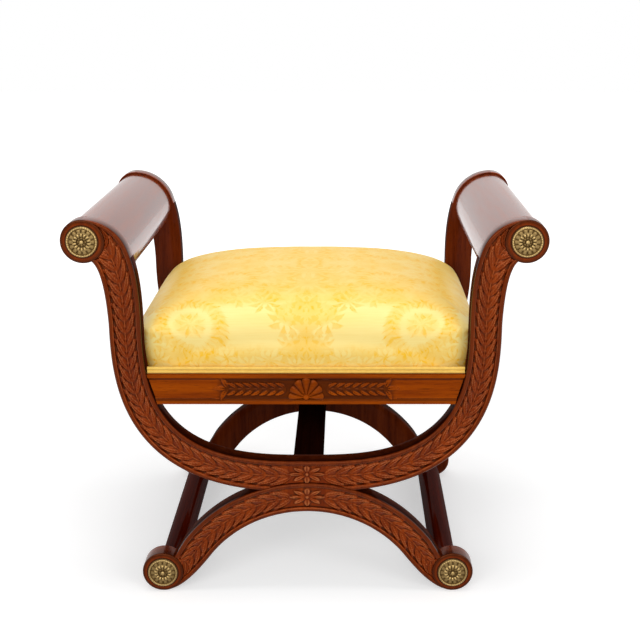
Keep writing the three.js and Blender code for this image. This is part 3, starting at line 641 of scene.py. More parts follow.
roll_low, roll_high = box_mm("right_arm_roll")
roll_inset = arm_high[2] - roll_high[2]
heel = np.array([NECK_REACH - roll_inset, roll_low[2]])
roll_neck_end = arc(scroll, scroll_radius - roll_inset, SCROLL_END, SCROLL_END, 1)[0]
roll_rise = roll_neck_end[1] - heel[1]
roll_pulls = [
    (heel[0] + ARM_BAND * band, heel[1] + roll_rise * rise)
    for band, rise in zip(NECK_BAND_SHARES, NECK_RISE_SHARES)
]
ROLL_HEAD_END = 176
roll_head = arc(HEAD_CENTRE, HEAD_RADIUS - roll_inset, 90, ROLL_HEAD_END, 60)
drop = roll_head[-1] - heel
nose = bezier(
    roll_head[-1], roll_head[-1] - [0, 0.3 * drop[1]], heel + [0.66 * drop[0], 0], heel, 24
)
roll_outline = np.vstack([
    bezier(heel, roll_pulls[1], roll_pulls[0], roll_neck_end, 24)[:-1],
    arc(scroll, scroll_radius - roll_inset, SCROLL_END, 90, 72)[:-1],
    roll_head[:-1],
    nose[:-1],
])
roll = prism(roll_outline, *between_frames)
for side, signs in SIDES.items():
    add_turned(roll, f"{side}_roll", roll_wood, f"{side}_arm_roll", signs, 30)
print("arm roll:", len(roll_outline), "points round,", round(roll_rise), "mm from heel to neck")

# %% The stretcher and the foot rails
BAR_EASE = 2.5
bar_low, bar_high = box_mm("centre_stretcher")
half_bar = bar_high[0]
bar_outline = [
    (-half_bar, bar_low[2]), (half_bar, bar_low[2]), (half_bar, bar_high[2]), (-half_bar, bar_high[2])
]
bar = prism(bar_outline, *between_frames)
long_edges = [e for e in bar.edges if abs(e.verts[0].co.y - e.verts[1].co.y) > MM]
bmesh.ops.bevel(
    bar, geom=long_edges, offset=BAR_EASE * MM, segments=4, profile=0.5, affect="EDGES", material=-1
)
add_piece(bar, "stretcher_bar", stained_wood, ["centre_stretcher"], 30)

foot_rail_low, foot_rail_high = box_mm("right_foot_rail")
foot_rail_at = (foot_rail_low + foot_rail_high)[[0, 2]] / 2
foot_rail_radius = foot_rail_high[0] - foot_rail_at[0]
near, far = between_frames
foot_bar = bmesh.new()
foot_profile = [(0, near), (foot_rail_radius, near), (foot_rail_radius, far), (0, far)]
turned_part(foot_bar, foot_rail_at, foot_profile, 72)
for side, signs in SIDES.items():
    add_turned(foot_bar, f"{side}_foot_bar", foot_rail_wood, f"{side}_foot_rail", signs, 30)
print("stretcher", round(2 * half_bar), "mm square, foot rails", round(2 * foot_rail_radius), "mm thick")

# %% [markdown]
# ## The seat rails
# A rail is a plank with a flat fillet and a small cove along its top and bottom, and a plain field
# between. The front and rear rails carry laurel sprays on both sides of a shell, each ending in three
# leaves, so they are carved boards, with their ends scribed to the U's inner edge. The side rails are
# plain, so their section is extruded.

# %% The front and rear rails with their sprays
RAIL_FILLET, RAIL_COVE, RAIL_FIELD = 6, 10, 3
SPRAY_START, SPRAY_END, SPRAY_HALF, SPRAY_PITCH, SPRAY_LEAF, SPRAY_RELIEF = 30, 116, 12.5, 12, 17, 2.7
END_LEAF_HALF, END_LEAVES = 4.6, ((0, 23), (58, 21), (-58, 21))
rail_middle = (rail_top + rail_bottom) / 2


def rail_edge(height):
    """Points along a rail at a height, between the two inner edges of the U."""
    share = np.linspace(-1, 1, 470)[:, None]
    drop = (ELBOW - height) / (ELBOW - BOWL_HEIGHT)
    half = BOWL_HALF * (1 - drop**INNER_POWER) ** (1 / INNER_POWER)
    return np.hstack([share * (half - JOINT_GAP), np.full_like(share, height)])


def rail_relief(station, from_top, from_bottom, flat):
    edge = np.minimum(from_top, from_bottom)
    cove = np.clip((edge - RAIL_FILLET) / (RAIL_COVE - RAIL_FILLET), 0, 1)
    depth = RAIL_FIELD * np.sin(cove * math.pi / 2) ** 0.7
    x, z = np.abs(flat[:, 0]), flat[:, 1] - rail_middle
    leaves = garland(x, z, SPRAY_HALF, SPRAY_START, SPRAY_END + 8, SPRAY_PITCH, SPRAY_LEAF)
    for degrees, length in END_LEAVES:
        leaves = np.maximum(leaves, leaf_at(x, z, SPRAY_END, 0, degrees, length, END_LEAF_HALF))
    return rail_face - front_face + depth - SPRAY_RELIEF * leaves * (leaves > 0)


rail_shares = np.linspace(0, 1, 52)
front_rail = carved_board(rail_edge(rail_top), rail_edge(rail_bottom), rail_shares, rail_relief, limb_back)
hollow = front_rail.verts.layers.float["hollow"]
# Painted shade: the ground round the sprays and the coves along the top and bottom are darkened, over 0.3 of
# the carving's own painted shade and highlight.
for v in front_rail.verts:
    x, z, deep = abs(v.co.x / MM), abs(v.co.z / MM - rail_middle), v.co.y / MM - rail_face
    on_ground = x < SPRAY_END + 18 and z < 15 and RAIL_FIELD - 1.2 < deep < RAIL_FIELD + 1
    in_cove = -1 < (rail_top - rail_bottom) / 2 - z - RAIL_FILLET < 3 and deep < RAIL_FIELD + 1
    v[hollow] = 0.3 * v[hollow] + (0.75 * min(1, (SPRAY_END + 18 - x) / 12) if on_ground else 0.6 * in_cove)
for end, signs in ENDS.items():
    add_turned(front_rail, f"{end}_carved_rail", rail_wood, f"{end}_seat_rail", signs)
print("carved rail:", len(front_rail.faces), "faces")

# %% The side rails
side_face = box_mm("right_seat_rail")[1][0]
rail_back = limb_back - rail_face
cove_points = [
    (RAIL_FIELD * math.sin(t * math.pi / 2) ** 0.7, RAIL_FILLET + (RAIL_COVE - RAIL_FILLET) * t)
    for t in np.linspace(0, 1, 7)
]
side_outline = (
    [(side_face - rail_back, rail_bottom), (side_face, rail_bottom)]
    + [(side_face - d, rail_bottom + h) for d, h in cove_points]
    + [(side_face - d, rail_top - h) for d, h in reversed(cove_points)]
    + [(side_face, rail_top), (side_face - rail_back, rail_top)]
)
side_rail = prism(side_outline, *between_frames)
for side, signs in SIDES.items():
    add_turned(side_rail, f"{side}_side_rail", side_wood, f"{side}_seat_rail", signs, 30)
print("side rails:", round(rail_top - rail_bottom), "mm high,", round(rail_back, 1), "mm thick")

# %% [markdown]
# ## The shell
# A scallop with seven ribs, carved apart and planted on the rail. Seven ribs set side by side would show
# their joins, but a grid bent into a fan is one skin: one direction runs round the fan, and the other from
# the hinge to the rim.

# %% The scallop shell
SHELL_LOBES, SHELL_RADIUS, SHELL_HEIGHT, HINGE_RADIUS, SHELL_BED = 7, 26, 5, 3, 1
HINGE_UP, FAN_HALF = 5.5, 0.56 * math.pi
shell_low, shell_high = box_mm("front_rail_shell")
hinge_z = shell_low[2] + HINGE_UP
shell = bmesh.new()
bmesh.ops.create_grid(shell, x_segments=140, y_segments=26, size=1)
hollow = shell.verts.layers.float.new("hollow")
for v in shell.verts:
    turn = math.pi / 2 - FAN_HALF * v.co.x
    out = (v.co.y + 1) / 2
    lobe = abs(math.cos(SHELL_LOBES * math.pi * (v.co.x + 1) / 2 + math.pi / 2))
    lift = (shell_high[2] - hinge_z) if math.sin(turn) > 0 else SHELL_RADIUS
    rim = SHELL_RADIUS + (lift - SHELL_RADIUS) * max(math.sin(turn), 0) ** 2
    radius = (HINGE_RADIUS + (rim - HINGE_RADIUS) * out) * (1 - 0.1 * (1 - lobe**0.6) * out)
    swell = math.sin(math.pi * min(0.12 + 0.8 * out, 0.96)) ** 0.5
    height = SHELL_HEIGHT * swell * (0.5 + 0.5 * lobe**0.7)
    # Painted shade: darker in the grooves between the ribs, more so towards the rim, and a little darker all
    # over.
    v[hollow] = min(0.22 + 0.8 * (1 - lobe**0.5) * (0.3 + 0.7 * out), 1)
    front = rail_face + RAIL_FIELD - SHELL_BED - height
    v.co = Vector((radius * math.cos(turn), front, hinge_z + radius * math.sin(turn))) * MM
rim = bmesh.ops.extrude_edge_only(shell, edges=[e for e in shell.edges if e.is_boundary])["geom"]
for v in (g for g in rim if isinstance(g, bmesh.types.BMVert)):
    v.co.y = (rail_face + RAIL_FIELD - JOINT_GAP) * MM
bmesh.ops.contextual_create(shell, geom=[g for g in rim if isinstance(g, bmesh.types.BMEdge)])
hinge_bead = [(0, -3.6), (2.4, -3), (4.2, -1.2), (4.8, 1.5), (0, 1.6)]
turned_part(shell, (0, hinge_z + 0.5), [(r, rail_face + deep) for r, deep in hinge_bead], 24)
for end, signs in ENDS.items():
    add_turned(shell, f"{end}_carved_shell", rail_wood, f"{end}_rail_shell", signs)
print("shell:", SHELL_LOBES, "ribs,", len(shell.faces), "faces")

# %% [markdown]
# ## The rosettes
# Small brass castings, antiqued so that the hollows stay dark: a roped ring, two rows of petals, a ring of
# seeds and a centre boss. A cast flower has no single outline to extrude, so a profile is spun to a fine
# disc, and each point is then raised by the casting's height there.

# %% Antique brass, and a cast rosette


def antique_brass():
    """Cast brass, pickled dark and rubbed bright on its crests: dull gold, grainy, brown in the hollows."""
    finish, tree, shader = new_finish("Cast brass, antiqued")
    place = node(tree, "TexCoord").outputs["Object"]
    mottle = node(tree, "TexNoise", {"Vector": place, "Scale": 700, "Detail": 4})
    tone = node(tree, "Mix", {0: mottle, 6: colour("#846c3e"), 7: colour("#b19767")}, data_type="RGBA")
    hollow = node(tree, "Attribute", attribute_name="hollow").outputs["Fac"]
    dark = node(tree, "Math", {0: hollow, 1: 0.85}, operation="MULTIPLY")
    tone = node(tree, "Mix", {0: dark, 6: tone, 7: colour("#3a2408")}, data_type="RGBA")
    rough = node(tree, "MapRange", {0: hollow, 1: 0, 2: 1, 3: 0.3, 4: 0.6})
    grit = node(tree, "Bump", {"Strength": 0.2, "Distance": 0.0001, "Height": mottle})
    feed(tree, shader, {"Base Color": tone, "Roughness": rough, "Normal": grit, "Metallic": 1})
    return finish


brass = antique_brass()
ROSETTE_RADIUS, ROPE_TURNS, ROPE_MIDDLE, ROPE_HALF, RIM_BAND = 23, 36, 20.8, 1.8, 0.4
BUD_RADIUS, SEED_END, PETAL_END, PETALS, SEEDS = 3.4, 6.8, 19, 14, 8
CASTING_PLATE = 1.0


def petal_height(radius, angle, count, start, end, lift):
    """A ring of rounded petals between two radii: height and patina."""
    petal = abs(math.cos(angle * count / 2))
    tip = end - 0.3 * (end - start) * (1 - petal**0.5)
    if not start < radius < tip:
        return 0, 0.9
    out = (radius - start) / (tip - start)
    return lift * math.sin(math.pi * (0.12 + 0.76 * out)) ** 0.8 * petal**0.35, 0.7 * (1 - petal) ** 1.2


def casting_height(radius, angle):
    """Height in mm of the rosette's face, and how much patina lies there."""
    if radius < BUD_RADIUS:
        return 2.4 + 2.4 * math.sqrt(max(1 - (radius / BUD_RADIUS) ** 2, 0)), 0.0
    if radius < PETAL_END:
        seeds, seeds_dark = petal_height(radius, angle, SEEDS, BUD_RADIUS, SEED_END, 0.7)
        inner, inner_dark = petal_height(radius, angle + math.pi / PETALS, PETALS, 7.2, 13.8, 3.1)
        outer, outer_dark = petal_height(radius, angle, PETALS, 11, PETAL_END, 1.4)
        tallest = max((inner, inner_dark), (outer, outer_dark + 0.5), (seeds, seeds_dark + 0.7))
        return CASTING_PLATE + tallest[0], min(tallest[1], 1)
    if radius < ROSETTE_RADIUS - RIM_BAND:
        rope = 0.5 + 0.5 * math.cos(angle * ROPE_TURNS)
        ring = math.sqrt(max(1 - ((radius - ROPE_MIDDLE) / ROPE_HALF) ** 2, 0))
        return CASTING_PLATE + ring * (1.9 + 0.4 * rope), 0.35 * (1 - rope) ** 2
    return CASTING_PLATE * (ROSETTE_RADIUS - radius) / RIM_BAND, 0.3


def rosette_at(centre):
    bm = bmesh.new()
    rings = [*np.linspace(0, 22.5, 46), 22.8, ROSETTE_RADIUS]
    seat = front_face - JOINT_GAP
    turned_part(bm, centre, [(r, seat) for r in rings], 240)
    hollow = bm.verts.layers.float.new("hollow")
    for v in bm.verts:
        dx, dz = v.co.x / MM - centre[0], v.co.z / MM - centre[1]
        height, v[hollow] = casting_height(math.hypot(dx, dz), math.atan2(dz, dx))
        v.co.y = (seat - height) * MM
    bmesh.ops.holes_fill(bm, edges=[e for e in bm.edges if e.is_boundary])
    bmesh.ops.recalc_face_normals(bm, faces=bm.faces)
    return bm


for kind, centre in (("scroll", scroll), ("foot", foot)):
    casting = rosette_at(centre)
    for quarter, signs in QUARTERS.items():
        end, side = quarter.split("_")
        node_name = f"{end}_{kind}_rosette_{side}"
        add_turned(casting, f"{end}_{kind}_casting_{side}", brass, node_name, signs)
print("rosette faces:", len(casting.faces))

# %% [markdown]
# ## Silk damask
# Damask is woven from one colour of silk: the ground shines as satin, and the figure is the same thread
# turned dull, so it reads as a slightly deeper yellow. The figure here is a traditional one: laurel
# wreaths in a row, a palmette between them, and foliage above and below. It is drawn on a UV map that
# holds the cloth's own millimetres, across the seat and up from the welt, so that it bends with the cloth.
# The weave's ribs are about 0.5 mm apart in silk and are drawn 1.6 mm apart, so that they show.

# %% The damask's figure from distances and angles
WREATH_AT = (171, 74)

# A cluster's place, then its rings of leaves: radius, spread, count and lean, and what squashes it.
CLUSTERS = (
    (32, 79, (17, 13, 9, 0.03)), (27, 46, (13, 12, 8, 0.03, 1.2)), (0, 98, (22, 18, 10, 0.02)),
    (62, 114, (14, 14, 9, 0.03)), (98, 124, (12, 12, 8, 0.03)), (240, 44, (16, 14, 9, 0.03)),
    (228, 122, (14, 14, 9, 0.03)), (118, 186, (38, 15, 22, -0.05)), (118, 186, (10, 14, 7, 0.02)),
    (0, 166, (26, 22, 12, 0.02)), (52, 150, (16, 14, 9, 0.03)), (0, 226, (30, 24, 12, 0.02)),
    (196, 158, (16, 14, 9, 0.03)), (58, 236, (18, 16, 9, 0.03)), (186, 226, (24, 18, 12, -0.03)),
)
PALE_SPRIGS = (
    (60, 19, (13, 13, 9, 0.03)), (94, 11, (11, 12, 8, 0.03)), (24, 9, (10, 12, 8, 0.03)),
    (124, 24, (10, 11, 7, 0.03)), (232, 18, (13, 12, 9, 0.03)), (172, 3, (10, 10, 8, 0.03)),
)


def damask():
    """Yellow silk damask: a soft satin sheen, with the figure a shade deeper and duller than the ground."""
    finish, tree, shader = new_finish("Silk damask, yellow")
    cloth_at = node(tree, "UVMap", uv_map="cloth")
    halved = node(tree, "VectorMath", {0: cloth_at}, operation="ABSOLUTE")
    sway = node(tree, "TexNoise", {"Vector": halved, "Scale": 0.07, "Detail": 3}).outputs["Color"]
    swayed = node(tree, "VectorMath", {0: sway, 1: (9, 9, 0), 2: halved}, operation="MULTIPLY_ADD")
    place = node(tree, "VectorMath", {0: swayed, 1: (4.5, 4.5, 0)}, operation="SUBTRACT")
    sides = node(tree, "SeparateXYZ", {0: place})

    def leaf_ring(x, y, radius, spread, count, lean, squash=1.0):
        """Leaves in a ring about a point, and how far each place is from that point."""
        apart = node(tree, "VectorMath", {0: place, 1: (x, y, 0)}, operation="SUBTRACT")
        apart = node(tree, "VectorMath", {0: apart, 1: (1, squash, 1)}, operation="MULTIPLY")
        far = node(tree, "VectorMath", {0: apart}, operation="LENGTH")
        apart = node(tree, "SeparateXYZ", {0: apart})
        turn = node(tree, "Math", {0: apart.outputs[0], 1: apart.outputs[1]}, operation="ARCTAN2")
        turn = node(tree, "Math", {0: turn}, operation="ABSOLUTE")
        off = node(tree, "Math", {0: far, 1: radius}, operation="SUBTRACT")
        off = node(tree, "Math", {0: off}, operation="ABSOLUTE")
        leaning = node(tree, "Math", {0: off, 1: lean}, operation="MULTIPLY")
        turn = node(tree, "Math", {0: turn, 1: count / (2 * math.pi), 2: leaning}, operation="MULTIPLY_ADD")
        gap = node(tree, "Math", {0: turn, 1: 0.5}, operation="PINGPONG")
        width = node(tree, "MapRange", {0: off, 1: 0, 2: spread, 3: 0.42, 4: -0.06})
        inside = node(tree, "Math", {0: width, 1: gap}, operation="SUBTRACT")
        return node(tree, "MapRange", {0: inside, 1: -0.05, 2: 0.07}), far

    def between(value, low, high, soft):
        """1 where a value lies between two limits, with soft ends."""
        rise = node(tree, "MapRange", {0: value, 1: low - soft, 2: low + soft})
        fall = node(tree, "MapRange", {0: value, 1: high - soft, 2: high + soft, 3: 1, 4: 0})
        return node(tree, "Math", {0: rise, 1: fall}, operation="MULTIPLY")

    def patch(x, y, half_x, half_y):
        """A soft oval, 1 in its middle."""
        apart = node(tree, "VectorMath", {0: place, 1: (x, y, 0)}, operation="SUBTRACT")
        apart = node(tree, "VectorMath", {0: apart, 1: (1 / half_x, 1 / half_y, 1)}, operation="MULTIPLY")
        far = node(tree, "VectorMath", {0: apart}, operation="LENGTH")
        return node(tree, "MapRange", {0: far, 1: 0.8, 2: 1.1, 3: 1, 4: 0})

    def most(shares):
        """The largest of several figures, each weakened to its share."""
        whole = 0.0
        for figure, share in shares:
            part = node(tree, "Math", {0: figure, 1: share}, operation="MULTIPLY")
            whole = node(tree, "Math", {0: part, 1: whole}, operation="MAXIMUM")
        return whole

    def slant_leaves(degrees):
        """Slender leaves of 8 by 19 mm that lie at one slant."""
        laid = {"Vector": place, "Rotation": (0, 0, math.radians(degrees)), "Scale": (8, 19, 1)}
        turned = node(tree, "Mapping", laid, vector_type="TEXTURE")
        leaves = node(
            tree, "TexVoronoi", {"Vector": turned, "Scale": 1, "Exponent": 0.8, "Randomness": 0.85},
            voronoi_dimensions="2D", distance="MINKOWSKI",
        )
        return node(tree, "MapRange", {0: leaves, 1: 0.45, 2: 0.75, 3: 1, 4: 0})

    # Each figure is made just before it is weighed, so that few of them wait in the renderer at once.
    foliage = most((slant_leaves(degrees), 1) for degrees in (38, -34))
    wreath, from_wreath = leaf_ring(*WREATH_AT, 43, 16, 30, -0.05)
    posy = leaf_ring(*WREATH_AT, 12, 13, 9, 0.02)[0]
    basket = patch(*WREATH_AT, 22, 20)
    ring_band = between(from_wreath, 32, 53, 2.5)
    upper = between(sides.outputs[1], 110, 900, 8)
    lower = between(sides.outputs[1], -60, 37, 9)
    palmette = patch(0, 94, 50, 25)
    fan = patch(0, 42, 42, 16)
    stem = patch(0, 58, 17, 60)
    clumps = most((leaf_ring(x, y, *ring)[0], 0.85) for x, y, ring in CLUSTERS)
    gold = most([
        (wreath, 1.0), (posy, 0.8), (basket, 0.4), (ring_band, 0.6), (palmette, 0.9), (fan, 0.9), (stem, 0.9),
        (upper, 0.62), (lower, 0.9), (clumps, 1.0),
    ])
    sprigs = most((leaf_ring(x, y, *ring)[0], 1) for x, y, ring in PALE_SPRIGS)
    calm = node(tree, "MapRange", {0: upper, 3: 0.42, 4: 0.2})
    foliage = node(tree, "Math", {0: foliage, 1: calm}, operation="MULTIPLY")
    veins = most([(foliage, 1), (sprigs, 0.75)])
    light = node(tree, "Math", {0: veins, 1: -1.0, 2: 1.0}, operation="MULTIPLY_ADD")
    gold = node(tree, "Math", {0: gold, 1: light}, operation="MULTIPLY")
    shade = node(tree, "TexNoise", {"Vector": halved, "Scale": 0.028, "Detail": 1})
    shade = node(tree, "MapRange", {0: shade, 1: 0.38, 2: 0.62, 3: 0.7, 4: 1.1})
    gold = node(tree, "Math", {0: gold, 1: shade}, operation="MULTIPLY")
    cloud = node(tree, "TexNoise", {"Vector": cloth_at, "Scale": 0.02, "Detail": 2})
    slub_at = node(tree, "Mapping", {"Vector": cloth_at, "Scale": (0.02, 0.7, 1)})
    slub = node(tree, "TexNoise", {"Vector": slub_at, "Scale": 1, "Detail": 3})
    satin = node(tree, "Mix", {0: cloud, 6: colour("#f8dc84"), 7: colour("#fbe596")}, data_type="RGBA")
    streak = node(tree, "MapRange", {0: slub, 1: 0.42, 2: 0.7, 3: 0, 4: 0.3})
    satin = node(tree, "Mix", {0: streak, 6: satin, 7: colour("#f5d274")}, data_type="RGBA")
    cloth = node(tree, "Mix", {0: gold, 6: satin, 7: colour("#f8bf28")}, data_type="RGBA")
    dull = node(tree, "MapRange", {0: gold, 1: 0, 2: 1, 3: 0.34, 4: 0.6})
    ribs = node(tree, "TexWave", {"Vector": cloth_at, "Scale": 0.196}, bands_direction="Y")
    dent = node(tree, "Bump", {"Strength": 0.3, "Distance": 0.00025, "Height": ribs})
    feed(tree, shader, {
        "Base Color": cloth, "Roughness": dull, "Normal": dent,
        "Specular IOR Level": 0.3, "Specular Tint": colour("#fff3c8"),
        "Sheen Weight": 0.15, "Sheen Roughness": 0.4, "Sheen Tint": colour("#ffedb0"),
    })
    return finish


silk = damask()
print("damask:", len(silk.node_tree.nodes), "nodes")

# %% [markdown]
# ## The cushion
# The seat is stuffed over the rails and drawn down to the welt, so its crown is high and its foot is
# pulled in. A block would look dead. Here a grid is blown up to the crowned form, the arms are cut from
# its corners, and a short cloth simulation under light pressure rounds the cuts and swells the cover
# between its fixed edges, as stuffing does.

# %% The crowned form as a grid
cushion_low, cushion_high = box_mm("seat_cushion")
seat_z = cushion_low[2]
HALF_X, HALF_Y = cushion_high[0], cushion_high[1]
SHOULDER, CROWN, DRAW_IN, SWELL = 38, 78, 5, 2.5
CROWN_POWER_X, CROWN_POWER_Y, PLAN_POWER = 2.5, 3.5, 9
TOP_SHARE = 0.75


def crown_share(x, y):
    over_x = np.clip(1 - np.abs(x / HALF_X) ** CROWN_POWER_X, 0, 1) ** (1 / CROWN_POWER_X)
    over_y = np.clip(1 - np.abs(y / HALF_Y) ** CROWN_POWER_Y, 0, 1) ** (1 / CROWN_POWER_Y)
    return over_x * over_y


stuffed = bmesh.new()
bmesh.ops.create_grid(stuffed, x_segments=120, y_segments=120, size=1)
for v in stuffed.verts:
    u, w = v.co.x, v.co.y
    ring = max(abs(u), abs(w), 1e-6)
    bx, by = u / ring, w / ring
    plan = max(abs(bx) ** PLAN_POWER + abs(by) ** PLAN_POWER, 1e-6) ** (-1 / PLAN_POWER)
    if ring <= TOP_SHARE:
        share = 1 - (1 - ring / TOP_SHARE) ** 1.8
        x, y = (HALF_X - SWELL) * plan * bx * share, (HALF_Y - SWELL) * plan * by * share
        crown = crown_share(x * HALF_X / (HALF_X - SWELL), y * HALF_Y / (HALF_Y - SWELL))
        z = seat_z + SHOULDER + (CROWN - SWELL) * crown
    else:
        low = (ring - TOP_SHARE) / (1 - TOP_SHARE)
        draw = SWELL + DRAW_IN * min(1, 1.25 * low) ** 1.5
        x, y, z = (HALF_X - draw) * plan * bx, (HALF_Y - draw) * plan * by, seat_z + SHOULDER * (1 - low)
    v.co = Vector((float(x), float(y), float(z))) * MM
bmesh.ops.holes_fill(stuffed, edges=[e for e in stuffed.edges if e.is_boundary])
bmesh.ops.recalc_face_normals(stuffed, faces=stuffed.faces)
print("stuffed form:", round(2 * HALF_X), "by", round(2 * HALF_Y), "mm, crown", SHOULDER + CROWN, "mm high")

# %% Helpers that turn a bmesh into an object and settle its modifiers


def object_of(bm, name):
    mesh = bpy.data.meshes.new(name)
    bm.to_mesh(mesh)
    made = bpy.data.objects.new(name, mesh)
    bpy.context.scene.collection.objects.link(made)
    return made


def with_modifier(thing, kind, **settings):
    """Adds a modifier, and swaps the object's mesh for the result."""
    modifier = thing.modifiers.new(kind, kind)
    for key, value in settings.items():
        setattr(modifier, key, value)
    graph = bpy.context.evaluated_depsgraph_get()
    thing.data = bpy.data.meshes.new_from_object(thing.evaluated_get(graph))
    thing.modifiers.clear()


# %% Cut the arms from the corners
def grown(points, by):
    """An outline moved outwards by a distance, for the cloth's clearance."""
    tangent = np.roll(points, -1, axis=0) - np.roll(points, 1, axis=0)
    tangent /= np.linalg.norm(tangent, axis=1)[:, None]
    turned = (points[:, 0] * np.roll(points[:, 1], -1) - points[:, 1] * np.roll(points[:, 0], -1)).sum()
    return points + np.column_stack([tangent[:, 1], -tangent[:, 0]]) * np.sign(turned) * by


# Only the part of the arm that passes the seat matters, so the cutter leaves out the rungs near the crossing.
POST_START, POST_EVERY = 200, 6
post_inner, post_outer = (edge[POST_START::POST_EVERY] for edge in (arm_inner, arm_outer))
post_outline = grown(np.vstack([post_inner, post_outer[::-1]]), CLOTH_GAP)
post_depth = limb_back + CLOTH_GAP
seat = object_of(stuffed, "seat_stuffed")
for sign_x in (-1, 1):
    for sign_y in (-1, 1):
        post = prism(post_outline, front_face - 5, post_depth)
        bmesh.ops.scale(post, vec=(sign_x, sign_y, 1), verts=post.verts)
        bmesh.ops.recalc_face_normals(post, faces=post.faces)
        cutter = object_of(post, "post_cutter")
        with_modifier(seat, "BOOLEAN", object=cutter, operation="DIFFERENCE", solver="EXACT")
        bpy.data.objects.remove(cutter)
with_modifier(seat, "REMESH", mode="VOXEL", voxel_size=5 * MM, use_smooth_shade=True)
print("cushion before the swelling:", len(seat.data.polygons), "faces")

# %% Swell the cover under light pressure
TACKED_UP_TO, SWELL_STEPS = 4, 20
rest_shape = np.array([v.co for v in seat.data.vertices])
fixed = seat.vertex_groups.new(name="tacked")
fixed.add([v.index for v in seat.data.vertices if v.co.z < (seat_z + TACKED_UP_TO) * MM], 1, "REPLACE")
cloth = seat.modifiers.new("Cover", "CLOTH")
cloth.settings.use_pressure = True
cloth.settings.uniform_pressure_force = 4
cloth.settings.effector_weights.gravity = 0
cloth.settings.vertex_group_mass = "tacked"
cloth.settings.quality = 4
cloth.point_cache.frame_start, cloth.point_cache.frame_end = 1, SWELL_STEPS
for step in range(1, SWELL_STEPS + 1):
    bpy.context.scene.frame_set(step)
graph = bpy.context.evaluated_depsgraph_get()
blown = seat.evaluated_get(graph).to_mesh()
moved = np.array([v.co for v in blown.vertices]) - rest_shape
seat.modifiers.clear()
bpy.context.scene.frame_set(1)
far = np.linalg.norm(moved, axis=1)
moved *= np.minimum(1, SWELL * MM / np.maximum(far, 1e-9))[:, None]
print("cover swelled by", round(far.max() / MM, 1), "mm before the cap of", SWELL)
shape = rest_shape + moved
shape[:, 2] = np.maximum(shape[:, 2], seat_z * MM)
in_corner = (np.abs(shape[:, 1]) > -post_depth * MM) & (np.abs(shape[:, 0]) > 0.2)
shape[in_corner] = rest_shape[in_corner]
seat.data.vertices.foreach_set("co", shape.ravel())
seat.data.update()
with_modifier(seat, "SMOOTH", factor=0.5, iterations=4)
with_modifier(seat, "SUBSURF", levels=1, render_levels=1)

# %% Lay the cloth's millimetres on it
corner = np.array([v.co for v in seat.data.vertices]) / MM
out_x, out_y = np.abs(corner[:, 0]), np.abs(corner[:, 1])
below = np.clip(seat_z + SHOULDER - corner[:, 2], 0, None)
above = np.clip(corner[:, 2] - seat_z - SHOULDER, 0, None)
from_front = np.clip(HALF_Y - DRAW_IN - SWELL - out_y, 0, None)
from_side = np.clip(HALF_X - DRAW_IN - SWELL - out_x, 0, None)
SIDE_BAND = 12
on_side = (from_side < SIDE_BAND) & (from_side < from_front)


def over_shoulder(rise, run):
    """Length of the cloth that goes over a rounded shoulder of a given rise and run."""
    return (rise**1.5 + run**1.5) ** (2 / 3)


whole_run = over_shoulder(CROWN * crown_share(0 * out_x, out_y), HALF_X - DRAW_IN - SWELL)
cloth_up = SHOULDER + over_shoulder(above, from_front) - np.where(on_side, 0, below)
cloth_across = whole_run - over_shoulder(above, from_side) + np.where(on_side, below, 0)
uv = seat.data.uv_layers.new(name="cloth")
loops = np.array([l.vertex_index for l in seat.data.loops])
uv.data.foreach_set("uv", np.column_stack([np.sign(corner[:, 0]) * cloth_across, cloth_up])[loops].ravel())
seat.name = "seat_cover"
seat.data.materials.clear()
seat.data.materials.append(silk)
seat.data.polygons.foreach_set("use_smooth", [True] * len(seat.data.polygons))
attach(seat, "root")
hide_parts("seat_cushion")
print("cushion:", len(seat.data.polygons), "faces")

# %% [markdown]
# ## The double welt
# Two cords covered with the same silk are sewn side by side and glued over the tacks. The pair runs dead
# straight along each rail, so an outline of two rounds that meet at the seam is extruded, and the slant
# of the cover, which is cut across the weave, is left to the finish.

# %% Silk for the welt, and the four lengths


def welt_silk():
    """Silk wound round a cord: the damask's gold with a close slanting rib, and hardly any figure."""
    finish, tree, shader = new_finish("Silk welt, yellow")
    place = node(tree, "TexCoord").outputs["Object"]
    turned = node(tree, "Mapping", {"Vector": place, "Rotation": (0.6, 0.6, 0.7)})
    twill = node(tree, "TexWave", {"Vector": turned, "Scale": 180, "Distortion": 0.6, "Detail": 1})
    fine = node(tree, "TexNoise", {"Vector": place, "Scale": 160, "Detail": 3})
    tone = node(tree, "Mix", {0: fine, 6: colour("#dfae44"), 7: colour("#f5cf6a")}, data_type="RGBA")
    dent = node(tree, "Bump", {"Strength": 0.3, "Distance": 0.0001, "Height": twill.outputs[0]})
    satin = node(tree, "MapRange", {0: fine, 3: 0.4, 4: 0.6})
    feed(tree, shader, {
        "Base Color": tone, "Roughness": satin, "Normal": dent,
        "Specular Tint": colour("#fff3c8"), "Sheen Weight": 0.15,
    })
    return finish


welt_cloth = welt_silk()
# The cords' radius, their distance as a share of it, and the angle at which one round meets the other.
CORD, CORD_PITCH = 2.75, 1.8
SEAM = math.degrees(math.asin(CORD_PITCH / 2)) - 4


def cord_outline(x, z):
    lower = arc(np.array([x, z + CORD]), CORD, -SEAM - 180, SEAM, 22)
    upper = arc(np.array([x, z + CORD * (1 + CORD_PITCH)]), CORD, -SEAM, SEAM + 180, 22)
    return np.vstack([lower, upper])


